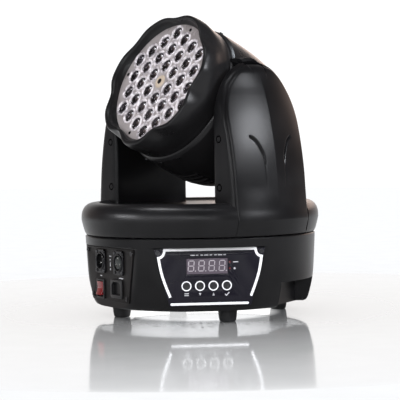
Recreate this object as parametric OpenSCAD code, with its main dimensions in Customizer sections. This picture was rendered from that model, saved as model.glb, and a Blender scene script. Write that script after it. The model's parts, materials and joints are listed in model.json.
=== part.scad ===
// Moving head wash light: round base, pan turntable with two arms, tilting head with 36 lenses.
// Millimetres. +Z is up, the origin is on the floor under the pan axis, and the base's front faces -Y.

/* [Base] */
// Height of the rubber feet, which is also the height of the base's lower edge
foot_h = 16; // [14:1:18]
// Distance from the pan axis to each foot
foot_circle_r = 107.6; // [104:0.1:110]
// Height of the top of the base
base_top_z = 105.5; // [105:0.5:106]
// Distance from the pan axis to the two flat faces
facet_d = 132; // [131:0.5:133]
// Angle of each flat face from the base's front
facet_angle = 32.2; // [31:0.1:33]
// Height of the top of the flat faces
facet_top_z = 94; // [93:0.5:95]
// Thickness of the moulded walls
wall = 3; // [2.5:0.1:3.2]

/* [Turntable and arms] */
// Largest radius of the turntable
turntable_r = 155; // [155:0.5:156]
// Height of the turntable's lower edge
turntable_z = 107.2; // [107:0.1:107.5]
// Distance from the pan axis to each arm's inner face
arm_inner_x = 101.5; // [101:0.5:102]
// Half of each arm's width
arm_half_w = 59; // [58:0.5:59]
// Height where each arm's straight sides turn into its round top
arm_arch_z = 249.2; // [249:0.1:250]
// Angle of the turntable about the pan axis, from the position that faces the front
pan_rest = -22.6; // [-22.6:0.1:-22.5]

/* [Head] */
// Height of the tilt axis
tilt_z = 272.4; // [272:0.1:273]
// Angle of the beam from straight up
tilt_rest = 64.8; // [64.8:0.1:64.9]
// Distance from the tilt axis to the face of the lens plate, along the beam
lens_plane = 69.4; // [69:0.1:70]
// Distance from the tilt axis to the front rim, along the beam
rim_plane = 81; // [80.5:0.5:82]
// Number of hollows around the front rim
rim_hollows = 7; // [7:1:7]
// Distance between neighbouring lenses
lens_pitch = 23.3; // [23:0.1:23.4]
// Radius of each lens
lens_r = 10; // [9.5:0.1:10]

/* [Hidden] */
$fn = 72;
eps = 0.01;
gap = 0.3;          // between pieces that move past each other
seat = 0.05;        // between pieces of one body that sit in each other

// ---------------------------------------------------------------- curves and placing

// A smooth curve through points, with steps pieces in each stretch.
function curve_point(a, b, c, d, t) = 0.5 * (2 * b + (c - a) * t + (2 * a - 5 * b + 4 * c - d) * t * t
    + (3 * b - a - 3 * c + d) * t * t * t);
function smooth(p, steps = 3) = concat([for (i = [0 : len(p) - 2]) for (k = [0 : steps - 1])
    curve_point(p[max(i - 1, 0)], p[i], p[i + 1], p[min(i + 2, len(p) - 1)], k / steps)],
    [p[len(p) - 1]]);

// Moves a profile of [radius, height] points towards the axis.
function inset(p, by) = [for (q = p) [q[0] - by, q[1]]];

// Turns a profile of [radius, height] points, closed to the axis, into a solid.
module turned(p) {
    rotate_extrude($fn = 96)
        polygon(concat([[0, p[0][1]]], p, [[0, p[len(p) - 1][1]]]));
}

// Places children on a flat face of the base: x to the right, y up, z outwards.
module on_facet(angle) {
    rotate([0, 0, angle]) translate([0, -facet_d, 0]) rotate([90, 0, 0]) children();
}
module on_control_facet() { on_facet(facet_angle) children(); }
module on_connector_facet() { on_facet(-facet_angle) children(); }

// Turns children with the turntable: the arms stand at +X and -X and the beam leans to -Y.
module in_yoke() { rotate([0, 0, pan_rest]) children(); }

// Turns children with the head: x along the tilt axis, z along the beam.
module in_head() { in_yoke() translate([0, 0, tilt_z]) rotate([tilt_rest, 0, 0]) children(); }

// Lays children, drawn along z, along the tilt axis towards +X or -X.
module along_tilt(side) { rotate([0, 90 * side, 0]) children(); }

module at_corners(x, y) {
    for (sx = [-1, 1], sy = [-1, 1]) translate([sx * x, sy * y, 0]) children();
}

module block(x, y, z0, z1) {
    translate([-x / 2, -y / 2, z0]) cube([x, y, z1 - z0]);
}

module tube(outer, inner, z0, z1) {
    difference() {
        translate([0, 0, z0]) cylinder(r = outer, h = z1 - z0);
        translate([0, 0, z0 - 1]) cylinder(r = inner, h = z1 - z0 + 2);
    }
}

// A pan-head screw with its head above z = 0 and its shank below.
module screw(head_r, head_h, shank_r, shank_l) {
    difference() {
        union() {
            translate([0, 0, -shank_l]) cylinder(r = shank_r, h = shank_l + eps, $fn = 24);
            cylinder(r = head_r, h = head_h, $fn = 32);
        }
        for (a = [0, 90]) rotate([0, 0, a]) block(head_r * 1.2, head_r * 0.28, head_h * 0.45, head_h + 1);
    }
}

// ---------------------------------------------------------------- profiles, [radius, height]

base_wall = smooth([[136, foot_h], [139.5, 20], [142.6, 30], [145.4, 42], [147.2, 54], [148.6, 75],
    [149.6, 95], [150, base_top_z]], 2);
rim_mid_z = 126;
rim_top_z = 147.8;
rim_top_r = 135;
// The rounded edge of the turntable: a parabola below its widest height and a superellipse above.
function rim_low(z) = turntable_r - 5 * pow((rim_mid_z - z) / (rim_mid_z - turntable_z), 2);
function rim_high(a) = [rim_top_r + (turntable_r - rim_top_r) * pow(cos(a), 0.8),
    rim_mid_z + (rim_top_z - rim_mid_z) * pow(sin(a), 0.8)];
rim_wall = concat(
    [for (k = [0 : 4]) let (z = turntable_z + (rim_mid_z - turntable_z) * k / 5) [rim_low(z), z]],
    [for (a = [0 : 9 : 90]) rim_high(a)]);
floor_edge_r = 118;
floor_z = 143.5;
// The arms' outer face: over the turntable's edge, then up a dome to the rounded top.
function dome_r(z) = 152 - pow(z - 140, 2) / 901;
arm_wall = smooth(concat([[150, turntable_z], [153.4, 114], [155, 124], [154.6, 132], [152.8, 142]],
    [for (z = [160 : 24 : 304]) [dome_r(z), z]],
    [[120.3, 309], [117.6, 313.5], [113, 317], [106, 319.6], [98, 321.2]]), 2);
arch_rise = 71.2;   // from arm_arch_z to the top of the arms' inner faces
waist_plane = 36;
rear_wall = smooth([[44, -96], [58, -93], [73, -84], [84.5, -71], [91, -55], [94.2, -34], [95.2, -8],
    [94.6, 16], [93.4, waist_plane - 0.4]], 2);
front_wall = smooth([[91.4, waist_plane], [91.4, 42], [92.6, 54], [93.4, 64], [91, 71]], 2);

// ---------------------------------------------------------------- base

grip_x = 118;       // from the pan axis to the grips' inner walls
grip_half_w = 40;
grip_top_z = 47;
plate_z = 17;       // underside of the steel base plate
plate_t = 2;

// The base's outer form, moved inwards by t.
module base_form(t) {
    difference() {
        turned(concat([for (q = base_wall) if (q[1] < base_top_z - t) [q[0] - t, q[1]]],
            [[150 - t, base_top_z - t]]));
        for (a = [-facet_angle, facet_angle]) rotate([0, 0, a])
            translate([-100, -200 - facet_d + t, -1]) cube([200, 200, facet_top_z + t + 1]);
        for (s = [-1, 1]) translate([s * (grip_x - t + 50) - 50, -grip_half_w - t, -1])
            cube([100, 2 * (grip_half_w + t), grip_top_z + t + 1]);
    }
}

deck_hole_r = 26;
control_half_top = 68.5;
control_half_bottom = 50;
control_z0 = 23;
control_z1 = 93;
function trapezium(top, bottom, z0, z1) = [[-bottom, z0], [bottom, z0], [top, z1], [-top, z1]];

module base_shell() {
    color([0.10, 0.10, 0.11]) difference() {
        base_form(0);
        difference() {
            base_form(wall);
            // Bosses that the panels and the base plate are screwed to.
            for (q = foot_places) translate([q[0], q[1], 19]) cylinder(r = 6, h = 90);
        }
        translate([0, 0, base_top_z - 10]) cylinder(r = deck_hole_r, h = 20);
        translate([0, 0, foot_h - 1]) linear_extrude(1 + plate_z + plate_t - foot_h + eps)
            offset_plate(0);
        for (q = foot_places) translate([q[0], q[1], 10]) cylinder(r = 1.9, h = 26, $fn = 24);
        on_control_facet() translate([0, 0, -wall - 1]) linear_extrude(wall + 2)
            polygon(trapezium(52, 42, 30, 85));
        on_connector_facet() translate([0, 0, -wall - 1]) linear_extrude(wall + 2)
            polygon(trapezium(56, 43, 25.5, 90));
        on_control_facet() for (q = control_screws) translate([q[0], q[1], -8])
            cylinder(r = 1.3, h = 20, $fn = 24);
        on_connector_facet() for (q = connector_screws) translate([q[0], q[1], -8])
            cylinder(r = 1.3, h = 20, $fn = 24);
    }
}

foot_places = [for (a = [45 : 90 : 315]) [foot_circle_r * sin(a), -foot_circle_r * cos(a)]];
control_screws = [[-63.6, 88.8], [63.6, 88.8]];
connector_screws = [[-60.5, 87], [60.5, 87], [-46, 30], [46, 30]];
rigging_x = 106;
rigging_y = 60;
rigging_r = 4.2;

// The base plate's outline, moved inwards by t from the base's own walls.
module offset_plate(t) {
    difference() {
        circle(r = 136.5 - wall - t, $fn = 96);
        for (a = [-facet_angle, facet_angle]) rotate(a)
            translate([-100, -200 - facet_d + wall + t]) square([200, 200]);
        for (s = [-1, 1]) translate([s * (grip_x - wall - t + 50) - 50, -grip_half_w - wall - t])
            square([100, 2 * (grip_half_w + wall + t)]);
    }
}

module base_plate() {
    color([0.55, 0.56, 0.58]) difference() {
        translate([0, 0, plate_z]) linear_extrude(plate_t) offset_plate(seat);
        for (q = foot_places) translate([q[0], q[1], 0]) cylinder(r = 2.1, h = 40, $fn = 24);
        at_corners(rigging_x / 2, rigging_y / 2) cylinder(r = rigging_r, h = 40);
        for (a = [0 : 30 : 330]) rotate([0, 0, a]) translate([22, 0, 0]) block(16, 3, 10, 30);
    }
}

module foot() {
    difference() {
        rotate_extrude() polygon([[0, 0], [9.6, 0], [10.4, 0.8], [12, plate_z - 0.3],
            [12, plate_z - seat], [0, plate_z - seat]]);
        translate([0, 0, -1]) cylinder(r = 5, h = 9);
        cylinder(r = 2.2, h = 30, $fn = 24);
    }
}

module feet() {
    color([0.07, 0.07, 0.07]) for (q = foot_places) translate([q[0], q[1], 0]) foot();
}

module foot_screws() {
    color([0.7, 0.7, 0.72]) for (q = foot_places) translate([q[0], q[1], 8 - seat]) mirror([0, 0, 1])
        screw(3.6, 2.4, 1.8, 18);
}

// ---------------------------------------------------------------- control panel

face_t = 2;
display_x = -3.4;
display_w = 50.3;
display_h = 19;
display_z = 71.5;
button_z = 47.6;
button_x0 = -29;
button_step = 16.5;
button_r = 4.3;
led_x = 24.4;
led_z = [68.2, 76.1];

module control_panel() {
    color([0.07, 0.07, 0.10]) on_control_facet() difference() {
        linear_extrude(face_t)
            polygon(trapezium(control_half_top, control_half_bottom, control_z0, control_z1));
        translate([display_x, display_z, 0]) block(display_w + 0.2, display_h + 0.2, -1, 5);
        for (k = [0 : 3]) translate([button_x0 + k * button_step, button_z, -1])
            cylinder(r = button_r + 0.1, h = 5);
        for (z = led_z) translate([led_x, z, -1]) cylinder(r = 1.5 + seat, h = 5, $fn = 24);
        for (q = control_screws) translate([q[0], q[1], -1]) cylinder(r = 1.6, h = 5, $fn = 24);
    }
}

board_depth = 14;   // from the panel's back to the control board's face

module display_module() {
    color([0.45, 0.38, 0.42]) on_control_facet() translate([display_x, display_z, 0])
        block(display_w, display_h, -board_depth, face_t + 0.2);
}

module indicator_leds() {
    color([0.75, 0.15, 0.15]) on_control_facet() for (z = led_z) translate([led_x, z, 0]) {
        translate([0, 0, -4]) cylinder(r = 1.5, h = 5.6, $fn = 24);
        translate([0, 0, 1.6]) sphere(r = 1.45, $fn = 24);
        translate([0, 0, -board_depth]) cylinder(r = 1, h = board_depth - 3.9, $fn = 16);
    }
}

module control_board() {
    color([0.10, 0.35, 0.18]) on_control_facet() difference() {
        translate([-4, 60, 0]) block(94, 50, -board_depth - 1.6, -board_depth);
        for (x = [-46, 38], z = [38.5, 81.5]) translate([x, z, -20]) cylinder(r = 1.6, h = 10, $fn = 24);
    }
}

module tact_switches() {
    color([0.3, 0.3, 0.32]) on_control_facet() for (k = [0 : 3])
        translate([button_x0 + k * button_step, button_z, -board_depth]) {
            block(12, 12, 0, 4);
            cylinder(r = 2.5, h = 9.5, $fn = 24);
        }
}

module button(k) {
    color([0.05, 0.05, 0.06]) on_control_facet()
        translate([button_x0 + k * button_step, button_z, 0]) difference() {
            union() {
                translate([0, 0, -6.5]) cylinder(r = button_r, h = 6.5 + face_t + 0.4);
                translate([0, 0, -6.5]) cylinder(r = button_r + 1.2, h = 6.3);
            }
            translate([0, 0, -7]) cylinder(r = 3, h = 3.4, $fn = 24);
        }
}
module button_menu() { button(0); }
module button_down() { button(1); }
module button_up() { button(2); }
module button_enter() { button(3); }

// ---------------------------------------------------------------- connector panel

plate_thick = 1.6;
xlr_in_x = -23;
xlr_out_x = 27;
xlr_z = 74;
inlet_x = 21;
inlet_z = 41;
switch_x = -24;
switch_z = 38.5;
xlr_body_r = 11.8;
socket_depth = 13;
inlet_depth = 16;

module connector_plate() {
    color([0.13, 0.13, 0.13]) on_connector_facet() difference() {
        linear_extrude(plate_thick) polygon(trapezium(64.5, 49.5, 24, 92));
        for (x = [xlr_in_x, xlr_out_x]) translate([x, xlr_z, -1]) cylinder(r = xlr_body_r + 0.1, h = 5);
        for (x = [xlr_in_x, xlr_out_x], s = [-1, 1]) translate([x + s * 9.5, xlr_z + s * 12, -1])
            cylinder(r = 1.5, h = 5, $fn = 24);
        translate([inlet_x, inlet_z, 0]) block(27.2, 20.2, -1, 5);
        translate([switch_x, switch_z, 0]) block(19.2, 22.2, -1, 5);
        for (q = connector_screws) translate([q[0], q[1], -1]) cylinder(r = 1.6, h = 5, $fn = 24);
    }
}

// The square flange and round body that both XLR sockets share.
module xlr_flange() {
    difference() {
        union() {
            linear_extrude(1.8) offset(r = 2, $fn = 24) square([22, 27], center = true);
            cylinder(r = xlr_body_r, h = 3);
            translate([0, 0, -18]) cylinder(r = xlr_body_r, h = 18.5);
        }
        for (s = [-1, 1]) translate([s * 9.5, s * 12, -1]) cylinder(r = 1.6, h = 5, $fn = 24);
        children();
    }
}

module xlr_pins(r, z0, z1) {
    for (a = [90, 210, 330]) rotate([0, 0, a]) translate([5.2, 0, z0])
        cylinder(r = r, h = z1 - z0, $fn = 24);
}

module dmx_input() {
    color([0.16, 0.16, 0.17]) on_connector_facet() translate([xlr_in_x, xlr_z, plate_thick])
        xlr_flange() translate([0, 0, -socket_depth]) cylinder(r = 9.2, h = 20);
}

module dmx_output() {
    color([0.16, 0.16, 0.17]) on_connector_facet() translate([xlr_out_x, xlr_z, plate_thick])
        xlr_flange() translate([0, 0, -socket_depth]) cylinder(r = 9.6, h = 20);
}

// The round insert with three contact holes.
module dmx_output_insert() {
    color([0.10, 0.12, 0.12]) on_connector_facet() translate([xlr_out_x, xlr_z, plate_thick])
        difference() {
            translate([0, 0, seat - socket_depth]) cylinder(r = 8, h = socket_depth + 1.5);
            xlr_pins(1.35, -11, 5);
        }
}

module inlet_outline(w, h, c) {
    polygon([[-w / 2, -h / 2], [w / 2, -h / 2], [w / 2, h / 2 - c], [w / 2 - c, h / 2],
        [-w / 2 + c, h / 2], [-w / 2, h / 2 - c]]);
}

module power_inlet() {
    color([0.09, 0.09, 0.09]) on_connector_facet() translate([inlet_x, inlet_z, plate_thick])
        difference() {
            union() {
                linear_extrude(2.6) offset(r = 3, $fn = 24) square([25, 17.4], center = true);
                block(27, 20, -24, eps);
            }
            translate([0, 0.4, -inlet_depth]) linear_extrude(30) inlet_outline(24, 16, 4);
        }
}

// The round pins in the XLR input and the flat ones in the mains inlet.
module contact_pins() {
    color([0.75, 0.75, 0.72]) on_connector_facet() {
        translate([xlr_in_x, xlr_z, plate_thick]) xlr_pins(1.2, seat - socket_depth, -1);
        for (q = [[-7, 0], [0, 3.4], [7, 0]])
            translate([inlet_x + q[0], inlet_z + q[1], plate_thick]) block(2, 4, seat - inlet_depth, -4);
    }
}

module switch_frame() {
    color([0.06, 0.06, 0.06]) on_connector_facet() translate([switch_x, switch_z, plate_thick])
        difference() {
            union() {
                linear_extrude(2.2) square([21, 25], center = true);
                block(19, 22, -16, eps);
            }
            block(16.4, 20, -11, 5);
            rocker_trunnions(9.2, 1.3 + seat);
        }
}

rocker_w = 15.8;
rocker_pivot = -1.5;   // below the connector plate's face
rocker_lean = 7;       // its top is pressed in

// The round pivot that the rocker tips on, in the frame's place.
module rocker_trunnions(half, r) {
    translate([0, 0, rocker_pivot]) rotate([0, 90, 0])
        cylinder(r = r, h = 2 * half, center = true, $fn = 32);
}

module power_rocker() {
    color([0.70, 0.06, 0.07]) on_connector_facet()
        translate([switch_x, switch_z, plate_thick + rocker_pivot]) rotate([0, 90, 0])
            translate([0, 0, -rocker_w / 2]) linear_extrude(rocker_w) rotate(-rocker_lean)
                polygon([[4, -7.6], [-5.6, -8.6], [-3.6, 0], [-5.6, 8.6], [4, 7.6]]);
    color([0.70, 0.06, 0.07]) on_connector_facet() translate([switch_x, switch_z, plate_thick])
        rocker_trunnions(9, 1.3);
}

module panel_screws() {
    color([0.25, 0.25, 0.26]) {
        on_control_facet() for (q = control_screws) translate([q[0], q[1], face_t]) screw(2.8, 1.4, 1.3, 9);
        on_connector_facet() for (q = connector_screws) translate([q[0], q[1], plate_thick])
            screw(2.8, 1.4, 1.3, 9);
        on_connector_facet() for (x = [xlr_in_x, xlr_out_x], s = [-1, 1])
            translate([x + s * 9.5, xlr_z + s * 12, plate_thick + 1.8]) screw(2.4, 1.2, 1.4, 7);
    }
}

// ---------------------------------------------------------------- inside the base

psu_y = 68;

module power_supply() {
    color([0.66, 0.67, 0.68]) difference() {
        translate([0, psu_y, 0]) block(120, 58, plate_z + plate_t + 0.1, 57);
        for (k = [-5 : 5]) translate([k * 9, psu_y, 0]) block(4, 40, 55.5, 60);
    }
}

module main_board() {
    color([0.08, 0.30, 0.16]) {
        translate([0, -30, 0]) block(110, 70, 27, 28.6);
        translate([-30, -30, 0]) block(22, 22, 28.6, 40);
        translate([20, -44, 0]) block(30, 16, 28.6, 34);
        translate([24, -14, 28.6]) cylinder(r = 8, h = 21);
    }
}

// ---------------------------------------------------------------- pan drive

spindle_r = 17;
pan_belt_z = 115;
pan_belt_h = 8;
belt_pitch = 2.032;
pan_pulley_teeth = 112;
tilt_pulley_teeth = 74;
pinion_teeth = 20;
function pulley_r(n) = n * belt_pitch / (2 * PI) - 0.25;
pan_pulley_r = pulley_r(pan_pulley_teeth);
tilt_pulley_r = pulley_r(tilt_pulley_teeth);
pinion_r = pulley_r(pinion_teeth);
pan_motor_x = -127;
spindle_top_z = 139;
plate_top_z = 135;
plate_bottom_z = 132;

// A timing pulley's outline with n teeth and outer radius r.
module teeth(r, n, depth) {
    polygon([for (k = [0 : n - 1]) for (q = [[0, 0], [0.42, 0], [0.5, 1], [0.92, 1]])
        (r - depth * q[1]) * [cos(360 * (k + q[0]) / n), sin(360 * (k + q[0]) / n)]]);
}

module pan_spindle() {
    color([0.60, 0.61, 0.63]) difference() {
        union() {
            translate([0, 0, base_top_z]) cylinder(r = 34, h = 3);
            translate([0, 0, base_top_z + 2]) cylinder(r = spindle_r, h = spindle_top_z - base_top_z - 2);
        }
        translate([0, 0, base_top_z - 1]) cylinder(r = 12, h = 60);
        for (a = [45 : 90 : 315]) rotate([0, 0, a]) translate([29, 0, base_top_z - 1])
            cylinder(r = 2.2, h = 6, $fn = 24);
    }
}

module pan_pulley() {
    color([0.72, 0.73, 0.75]) translate([0, 0, base_top_z + 3 + seat]) difference() {
        union() {
            linear_extrude(13.4) teeth(pan_pulley_r, pan_pulley_teeth, 0.8);
            cylinder(r = pan_pulley_r + 1.6, h = 1.4);
            translate([0, 0, 12]) cylinder(r = pan_pulley_r + 1.6, h = 1.4);
        }
        translate([0, 0, -1]) cylinder(r = spindle_r + seat, h = 20);
    }
}

module spindle_nut() {
    color([0.62, 0.63, 0.65]) difference() {
        union() {
            translate([0, 0, 131.8]) cylinder(r = 19.5, h = 3);
            translate([0, 0, 134]) linear_extrude(4) circle(r = 21, $fn = 6);
        }
        translate([0, 0, 120]) cylinder(r = spindle_r + seat, h = 20);
    }
}

module pan_bearing() {
    color([0.75, 0.76, 0.78]) in_yoke() difference() {
        tube(27, spindle_r + seat, 122.6, 131.6);
        tube(23.6, 20.4, 130.8, 140);
        tube(23.6, 20.4, 110, 123.4);
    }
}

// A belt of width h and thickness t, round a pulley at the origin and one at x = span.
module belt_loop(r1, r2, span, h, t) {
    lean = asin((r1 - r2) / span);
    module outline(extra) {
        polygon(concat(
            [for (k = [0 : 24]) let (a = 90 - lean + (180 + 2 * lean) * k / 24)
                (r1 + extra) * [cos(a), sin(a)]],
            [for (k = [0 : 16]) let (a = 270 + lean + (180 - 2 * lean) * k / 16)
                [span, 0] + (r2 + extra) * [cos(a), sin(a)]]));
    }
    linear_extrude(h, center = true) difference() {
        outline(t);
        outline(0);
    }
}

module pan_belt() {
    color([0.05, 0.05, 0.05]) in_yoke() translate([0, 0, pan_belt_z]) mirror([1, 0, 0])
        belt_loop(pan_pulley_r + gap, pinion_r + gap, -pan_motor_x, pan_belt_h, 1.2);
}

module pan_pinion() {
    color([0.78, 0.78, 0.80]) in_yoke() translate([pan_motor_x, 0, 0]) {
        translate([0, 0, pan_belt_z - 5]) linear_extrude(10) teeth(pinion_r, pinion_teeth, 0.8);
        translate([0, 0, pan_belt_z - 6]) cylinder(r = 2.5, h = plate_top_z - pan_belt_z + 18);
    }
}

module pan_motor() {
    color([0.20, 0.20, 0.21]) in_yoke() translate([pan_motor_x, 0, 0]) difference() {
        union() {
            block(35, 35, plate_top_z + seat, plate_top_z + 6);
            translate([0, 0, plate_top_z + 6 - eps]) linear_extrude(22) offset(r = 4, $fn = 24)
                square(26, center = true);
            block(35, 35, plate_top_z + 28, plate_top_z + 34);
        }
        translate([0, 0, 100]) cylinder(r = 2.6, h = 49);
    }
}

// ---------------------------------------------------------------- turntable

module arm_zone(t) {
    for (s = [-1, 1]) translate([s * (arm_inner_x - t + 50) - 50, -arm_half_w - t, 90])
        cube([100, 2 * (arm_half_w + t), 80]);
}

module turntable_solid(t) {
    // The rim's own curve, lowered by t at the top, then a shallow dish to the middle.
    rotate_extrude($fn = 96) polygon(concat([[0, turntable_z - (t > 0 ? 1 : 0)],
        [turntable_r - 5 - t, turntable_z - (t > 0 ? 1 : 0)]],
        [for (q = rim_wall) if (q[1] > turntable_z) [q[0] - t * (q[0] > rim_top_r + 6 ? 1 : 0.4),
            min(q[1], rim_top_z - t)]],
        [[floor_edge_r, floor_z - t], [0, floor_z - t]]));
}

module turntable_cover() {
    color([0.10, 0.10, 0.11]) in_yoke() difference() {
        turntable_solid(0);
        turntable_solid(wall);
        arm_zone(0.3);
    }
}

module turntable_plate() {
    color([0.50, 0.51, 0.53]) in_yoke() difference() {
        union() {
            intersection() {
                translate([0, 0, plate_bottom_z]) cylinder(r = 146, h = plate_top_z - plate_bottom_z);
                block(300, 108, 100, 160);
            }
            tube(32, 27 + seat, 122.6, plate_bottom_z + eps);
        }
        translate([0, 0, 100]) cylinder(r = 22, h = 60);
        translate([pan_motor_x, 0, 100]) cylinder(r = 11, h = 60);
    }
}

// ---------------------------------------------------------------- arms

tilt_hole_r = 16;
face_wall = 2.5;    // thickness of the arms' inner faces
upright_x = arm_inner_x + face_wall + 0.1;
upright_t = 2.5;
upright_foot = 16;

// A side view of an arm, moved inwards by t: straight sides and a round top.
module arm_outline(t, z0) {
    union() {
        translate([-arm_half_w + t, z0]) square([2 * (arm_half_w - t), arm_arch_z - z0]);
        translate([0, arm_arch_z]) scale([1, (arch_rise - t) / (arm_half_w - t)])
            circle(r = arm_half_w - t);
    }
}

arch_lean = 12;     // how far the arms' round tops slope down and outwards

// The arm at +X as a solid, moved inwards by t.
module arm_form(t, z0) {
    intersection() {
        translate([arm_inner_x + (t > 0 ? face_wall : 0), -100, z0]) cube([70, 200, 300]);
        translate([arm_inner_x, 0, arm_arch_z]) rotate([0, arch_lean, 0]) translate([-20, 0, -arm_arch_z])
            rotate([90, 0, 90]) linear_extrude(140) arm_outline(t, 60);
        turned(concat([[150 - t, turntable_z - 2]], inset(arm_wall, t), [[60, 321.4 - t]]));
    }
}

skirt = 3.6;        // how far the outer cover's edge reaches inwards from the arm's outer face
split = 1.2;        // width of the groove between the two covers

module arm_core(by) {
    turned(concat([[150 - by, turntable_z - 3]], inset(arm_wall, by), [[50, 321]]));
}

module arm_outer(side) {
    color([0.12, 0.12, 0.13]) in_yoke() mirror([side < 0 ? 1 : 0, 0, 0]) difference() {
        arm_form(0, turntable_z);
        arm_form(wall, turntable_z - 5);
        arm_core(skirt);
    }
}
module arm_outer_left() { arm_outer(-1); }
module arm_outer_right() { arm_outer(1); }

module arm_inner(side) {
    color([0.10, 0.10, 0.11]) in_yoke() mirror([side < 0 ? 1 : 0, 0, 0]) difference() {
        intersection() {
            arm_form(0, plate_top_z + 0.2);
            arm_core(skirt + split);
        }
        arm_form(wall, plate_top_z - 5);
        translate([0, 0, tilt_z]) along_tilt(1) cylinder(r = tilt_hole_r + 1, h = 120);
        for (z = arm_screw_z, s = [-1, 1]) translate([arm_screw_x, s * (arm_half_w + 1), z])
            rotate([90 * s, 0, 0]) translate([0, 0, -1]) cylinder(r = 1.7, h = 10, $fn = 24);
    }
}
module arm_inner_left() { arm_inner(-1); }
module arm_inner_right() { arm_inner(1); }

arm_screw_x = 111;
arm_screw_z = [166.5, 226];

module arm_screws() {
    color([0.2, 0.2, 0.21]) in_yoke() for (side = [-1, 1], z = arm_screw_z, s = [-1, 1])
        translate([side * arm_screw_x, s * arm_half_w, z]) rotate([-90 * s, 0, 0]) screw(3, 1.4, 1.6, 7);
}

module upright(side) {
    color([0.52, 0.53, 0.55]) in_yoke() mirror([side < 0 ? 1 : 0, 0, 0]) difference() {
        union() {
            translate([upright_x, 0, 0]) rotate([90, 0, 90]) linear_extrude(upright_t) union() {
                translate([-45, plate_top_z]) square([90, 234 - plate_top_z]);
                translate([0, 234]) circle(r = 45);
                translate([-35, 234]) square([70, tilt_z - 234]);
                translate([0, tilt_z]) circle(r = 35);
            }
            for (s = [-1, 1]) translate([upright_x + upright_foot / 2, s * 35, 0])
                block(upright_foot, 20, plate_top_z, plate_top_z + 2.5);
        }
        translate([0, 0, tilt_z]) along_tilt(1) cylinder(r = tilt_hole_r + seat, h = 150);
        translate([upright_x, 0, 222]) cube([20, 44, 20], center = true);
        for (y = [-35, 35]) translate([upright_x + 9, y, 130]) cylinder(r = 2.6, h = 12, $fn = 24);
    }
}
module upright_left() { upright(-1); }
module upright_right() { upright(1); }

// ---------------------------------------------------------------- tilt drive

axle_r = 10;
tilt_belt_x = 113;
tilt_belt_h = 5;
tilt_motor_z = 180;

module tilt_bearing(side) {
    color([0.75, 0.76, 0.78]) in_yoke() translate([0, 0, tilt_z]) along_tilt(side) difference() {
        tube(tilt_hole_r, axle_r + seat, arm_inner_x + 1, arm_inner_x + 7);
        tube(14.2, 12, arm_inner_x, arm_inner_x + 1.8);
        tube(14.2, 12, arm_inner_x + 6.2, arm_inner_x + 8);
    }
}
module tilt_bearing_left() { tilt_bearing(-1); }
module tilt_bearing_right() { tilt_bearing(1); }

module tilt_belt() {
    color([0.05, 0.05, 0.05]) in_yoke() translate([tilt_belt_x, 0, tilt_z]) rotate([0, 90, 0])
        belt_loop(tilt_pulley_r + gap, pinion_r + gap, tilt_z - tilt_motor_z, tilt_belt_h, 1.2);
}

module tilt_pinion() {
    color([0.78, 0.78, 0.80]) in_yoke() translate([0, 0, tilt_motor_z]) along_tilt(1) {
        translate([0, 0, tilt_belt_x - 3]) linear_extrude(6) teeth(pinion_r, pinion_teeth, 0.8);
        translate([0, 0, tilt_belt_x - 4]) cylinder(r = 2.5, h = 15);
    }
}

module tilt_motor() {
    color([0.20, 0.20, 0.21]) in_yoke() translate([0, 0, tilt_motor_z]) along_tilt(1) difference() {
        union() {
            block(35, 35, 119.6, 124);
            translate([0, 0, 124 - eps]) linear_extrude(14) offset(r = 4, $fn = 24)
                square(26, center = true);
            block(33, 33, 138, 142);
        }
        translate([0, 0, 110]) cylinder(r = 2.6, h = 16);
    }
}

module tilt_motor_bracket() {
    color([0.6, 0.61, 0.62]) in_yoke() translate([0, 0, tilt_motor_z]) along_tilt(1) {
        difference() {
            block(56, 56, 118, 119.5);
            translate([0, 0, 110]) cylinder(r = 9, h = 20);
        }
        at_corners(23, 23) translate([0, 0, upright_x + upright_t + seat])
            cylinder(r = 3, h = 118 - upright_x - upright_t - seat + eps, $fn = 24);
    }
}

module tilt_axle(side) {
    color([0.62, 0.63, 0.65]) in_head() along_tilt(side) difference() {
        union() {
            translate([0, 0, chassis_x]) cylinder(r = 20, h = 4);
            translate([0, 0, chassis_x + 3]) cylinder(r = axle_r, h = 120 - chassis_x - 3);
        }
        translate([0, 0, chassis_x - 1]) cylinder(r = 6.5, h = 60);
    }
}
module tilt_axle_left() { tilt_axle(-1); }
module tilt_axle_right() { tilt_axle(1); }

module tilt_pulley() {
    color([0.72, 0.73, 0.75]) in_head() along_tilt(1) difference() {
        union() {
            translate([0, 0, tilt_belt_x - 3]) linear_extrude(6)
                teeth(tilt_pulley_r, tilt_pulley_teeth, 0.8);
            translate([0, 0, tilt_belt_x - 4]) cylinder(r = tilt_pulley_r + 1.4, h = 1.2);
            translate([0, 0, tilt_belt_x + 2.8]) cylinder(r = tilt_pulley_r + 1.4, h = 1.2);
        }
        translate([0, 0, 100]) cylinder(r = axle_r + seat, h = 30);
        for (a = [30 : 60 : 330]) rotate([0, 0, a]) translate([16.8, 0, 100]) cylinder(r = 3.6, h = 30);
    }
}

// ---------------------------------------------------------------- head

chassis_x = 83;     // from the head's middle to the outside of the chassis cheeks
fan_z0 = -72;
fan_z1 = -52;
fan_post = 35.7;
head_screw_angles = [-70, -90, -110, 70, 90, 110];
head_screw_z = 26;
head_wall = 2.6;
lens_plate_r = 82;

module head_screw_holes(r) {
    for (a = head_screw_angles) rotate([0, 0, a]) translate([80, 0, head_screw_z])
        rotate([0, 90, 0]) cylinder(r = r, h = 20, $fn = 24);
}

// The front rim's radius at angle a: round lobes with rim_hollows hollows between them.
function rim_r(a, deep) =
    91.2 - deep * (1 - 0.4 * sin(a)) * pow(abs(cos(rim_hollows * (a - 90) / 2)), 3);
module rim_outline(by, deep) {
    polygon([for (k = [0 : 139]) let (a = 360 * k / 140) (rim_r(a, deep) - by) * [cos(a), sin(a)]]);
}

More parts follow.
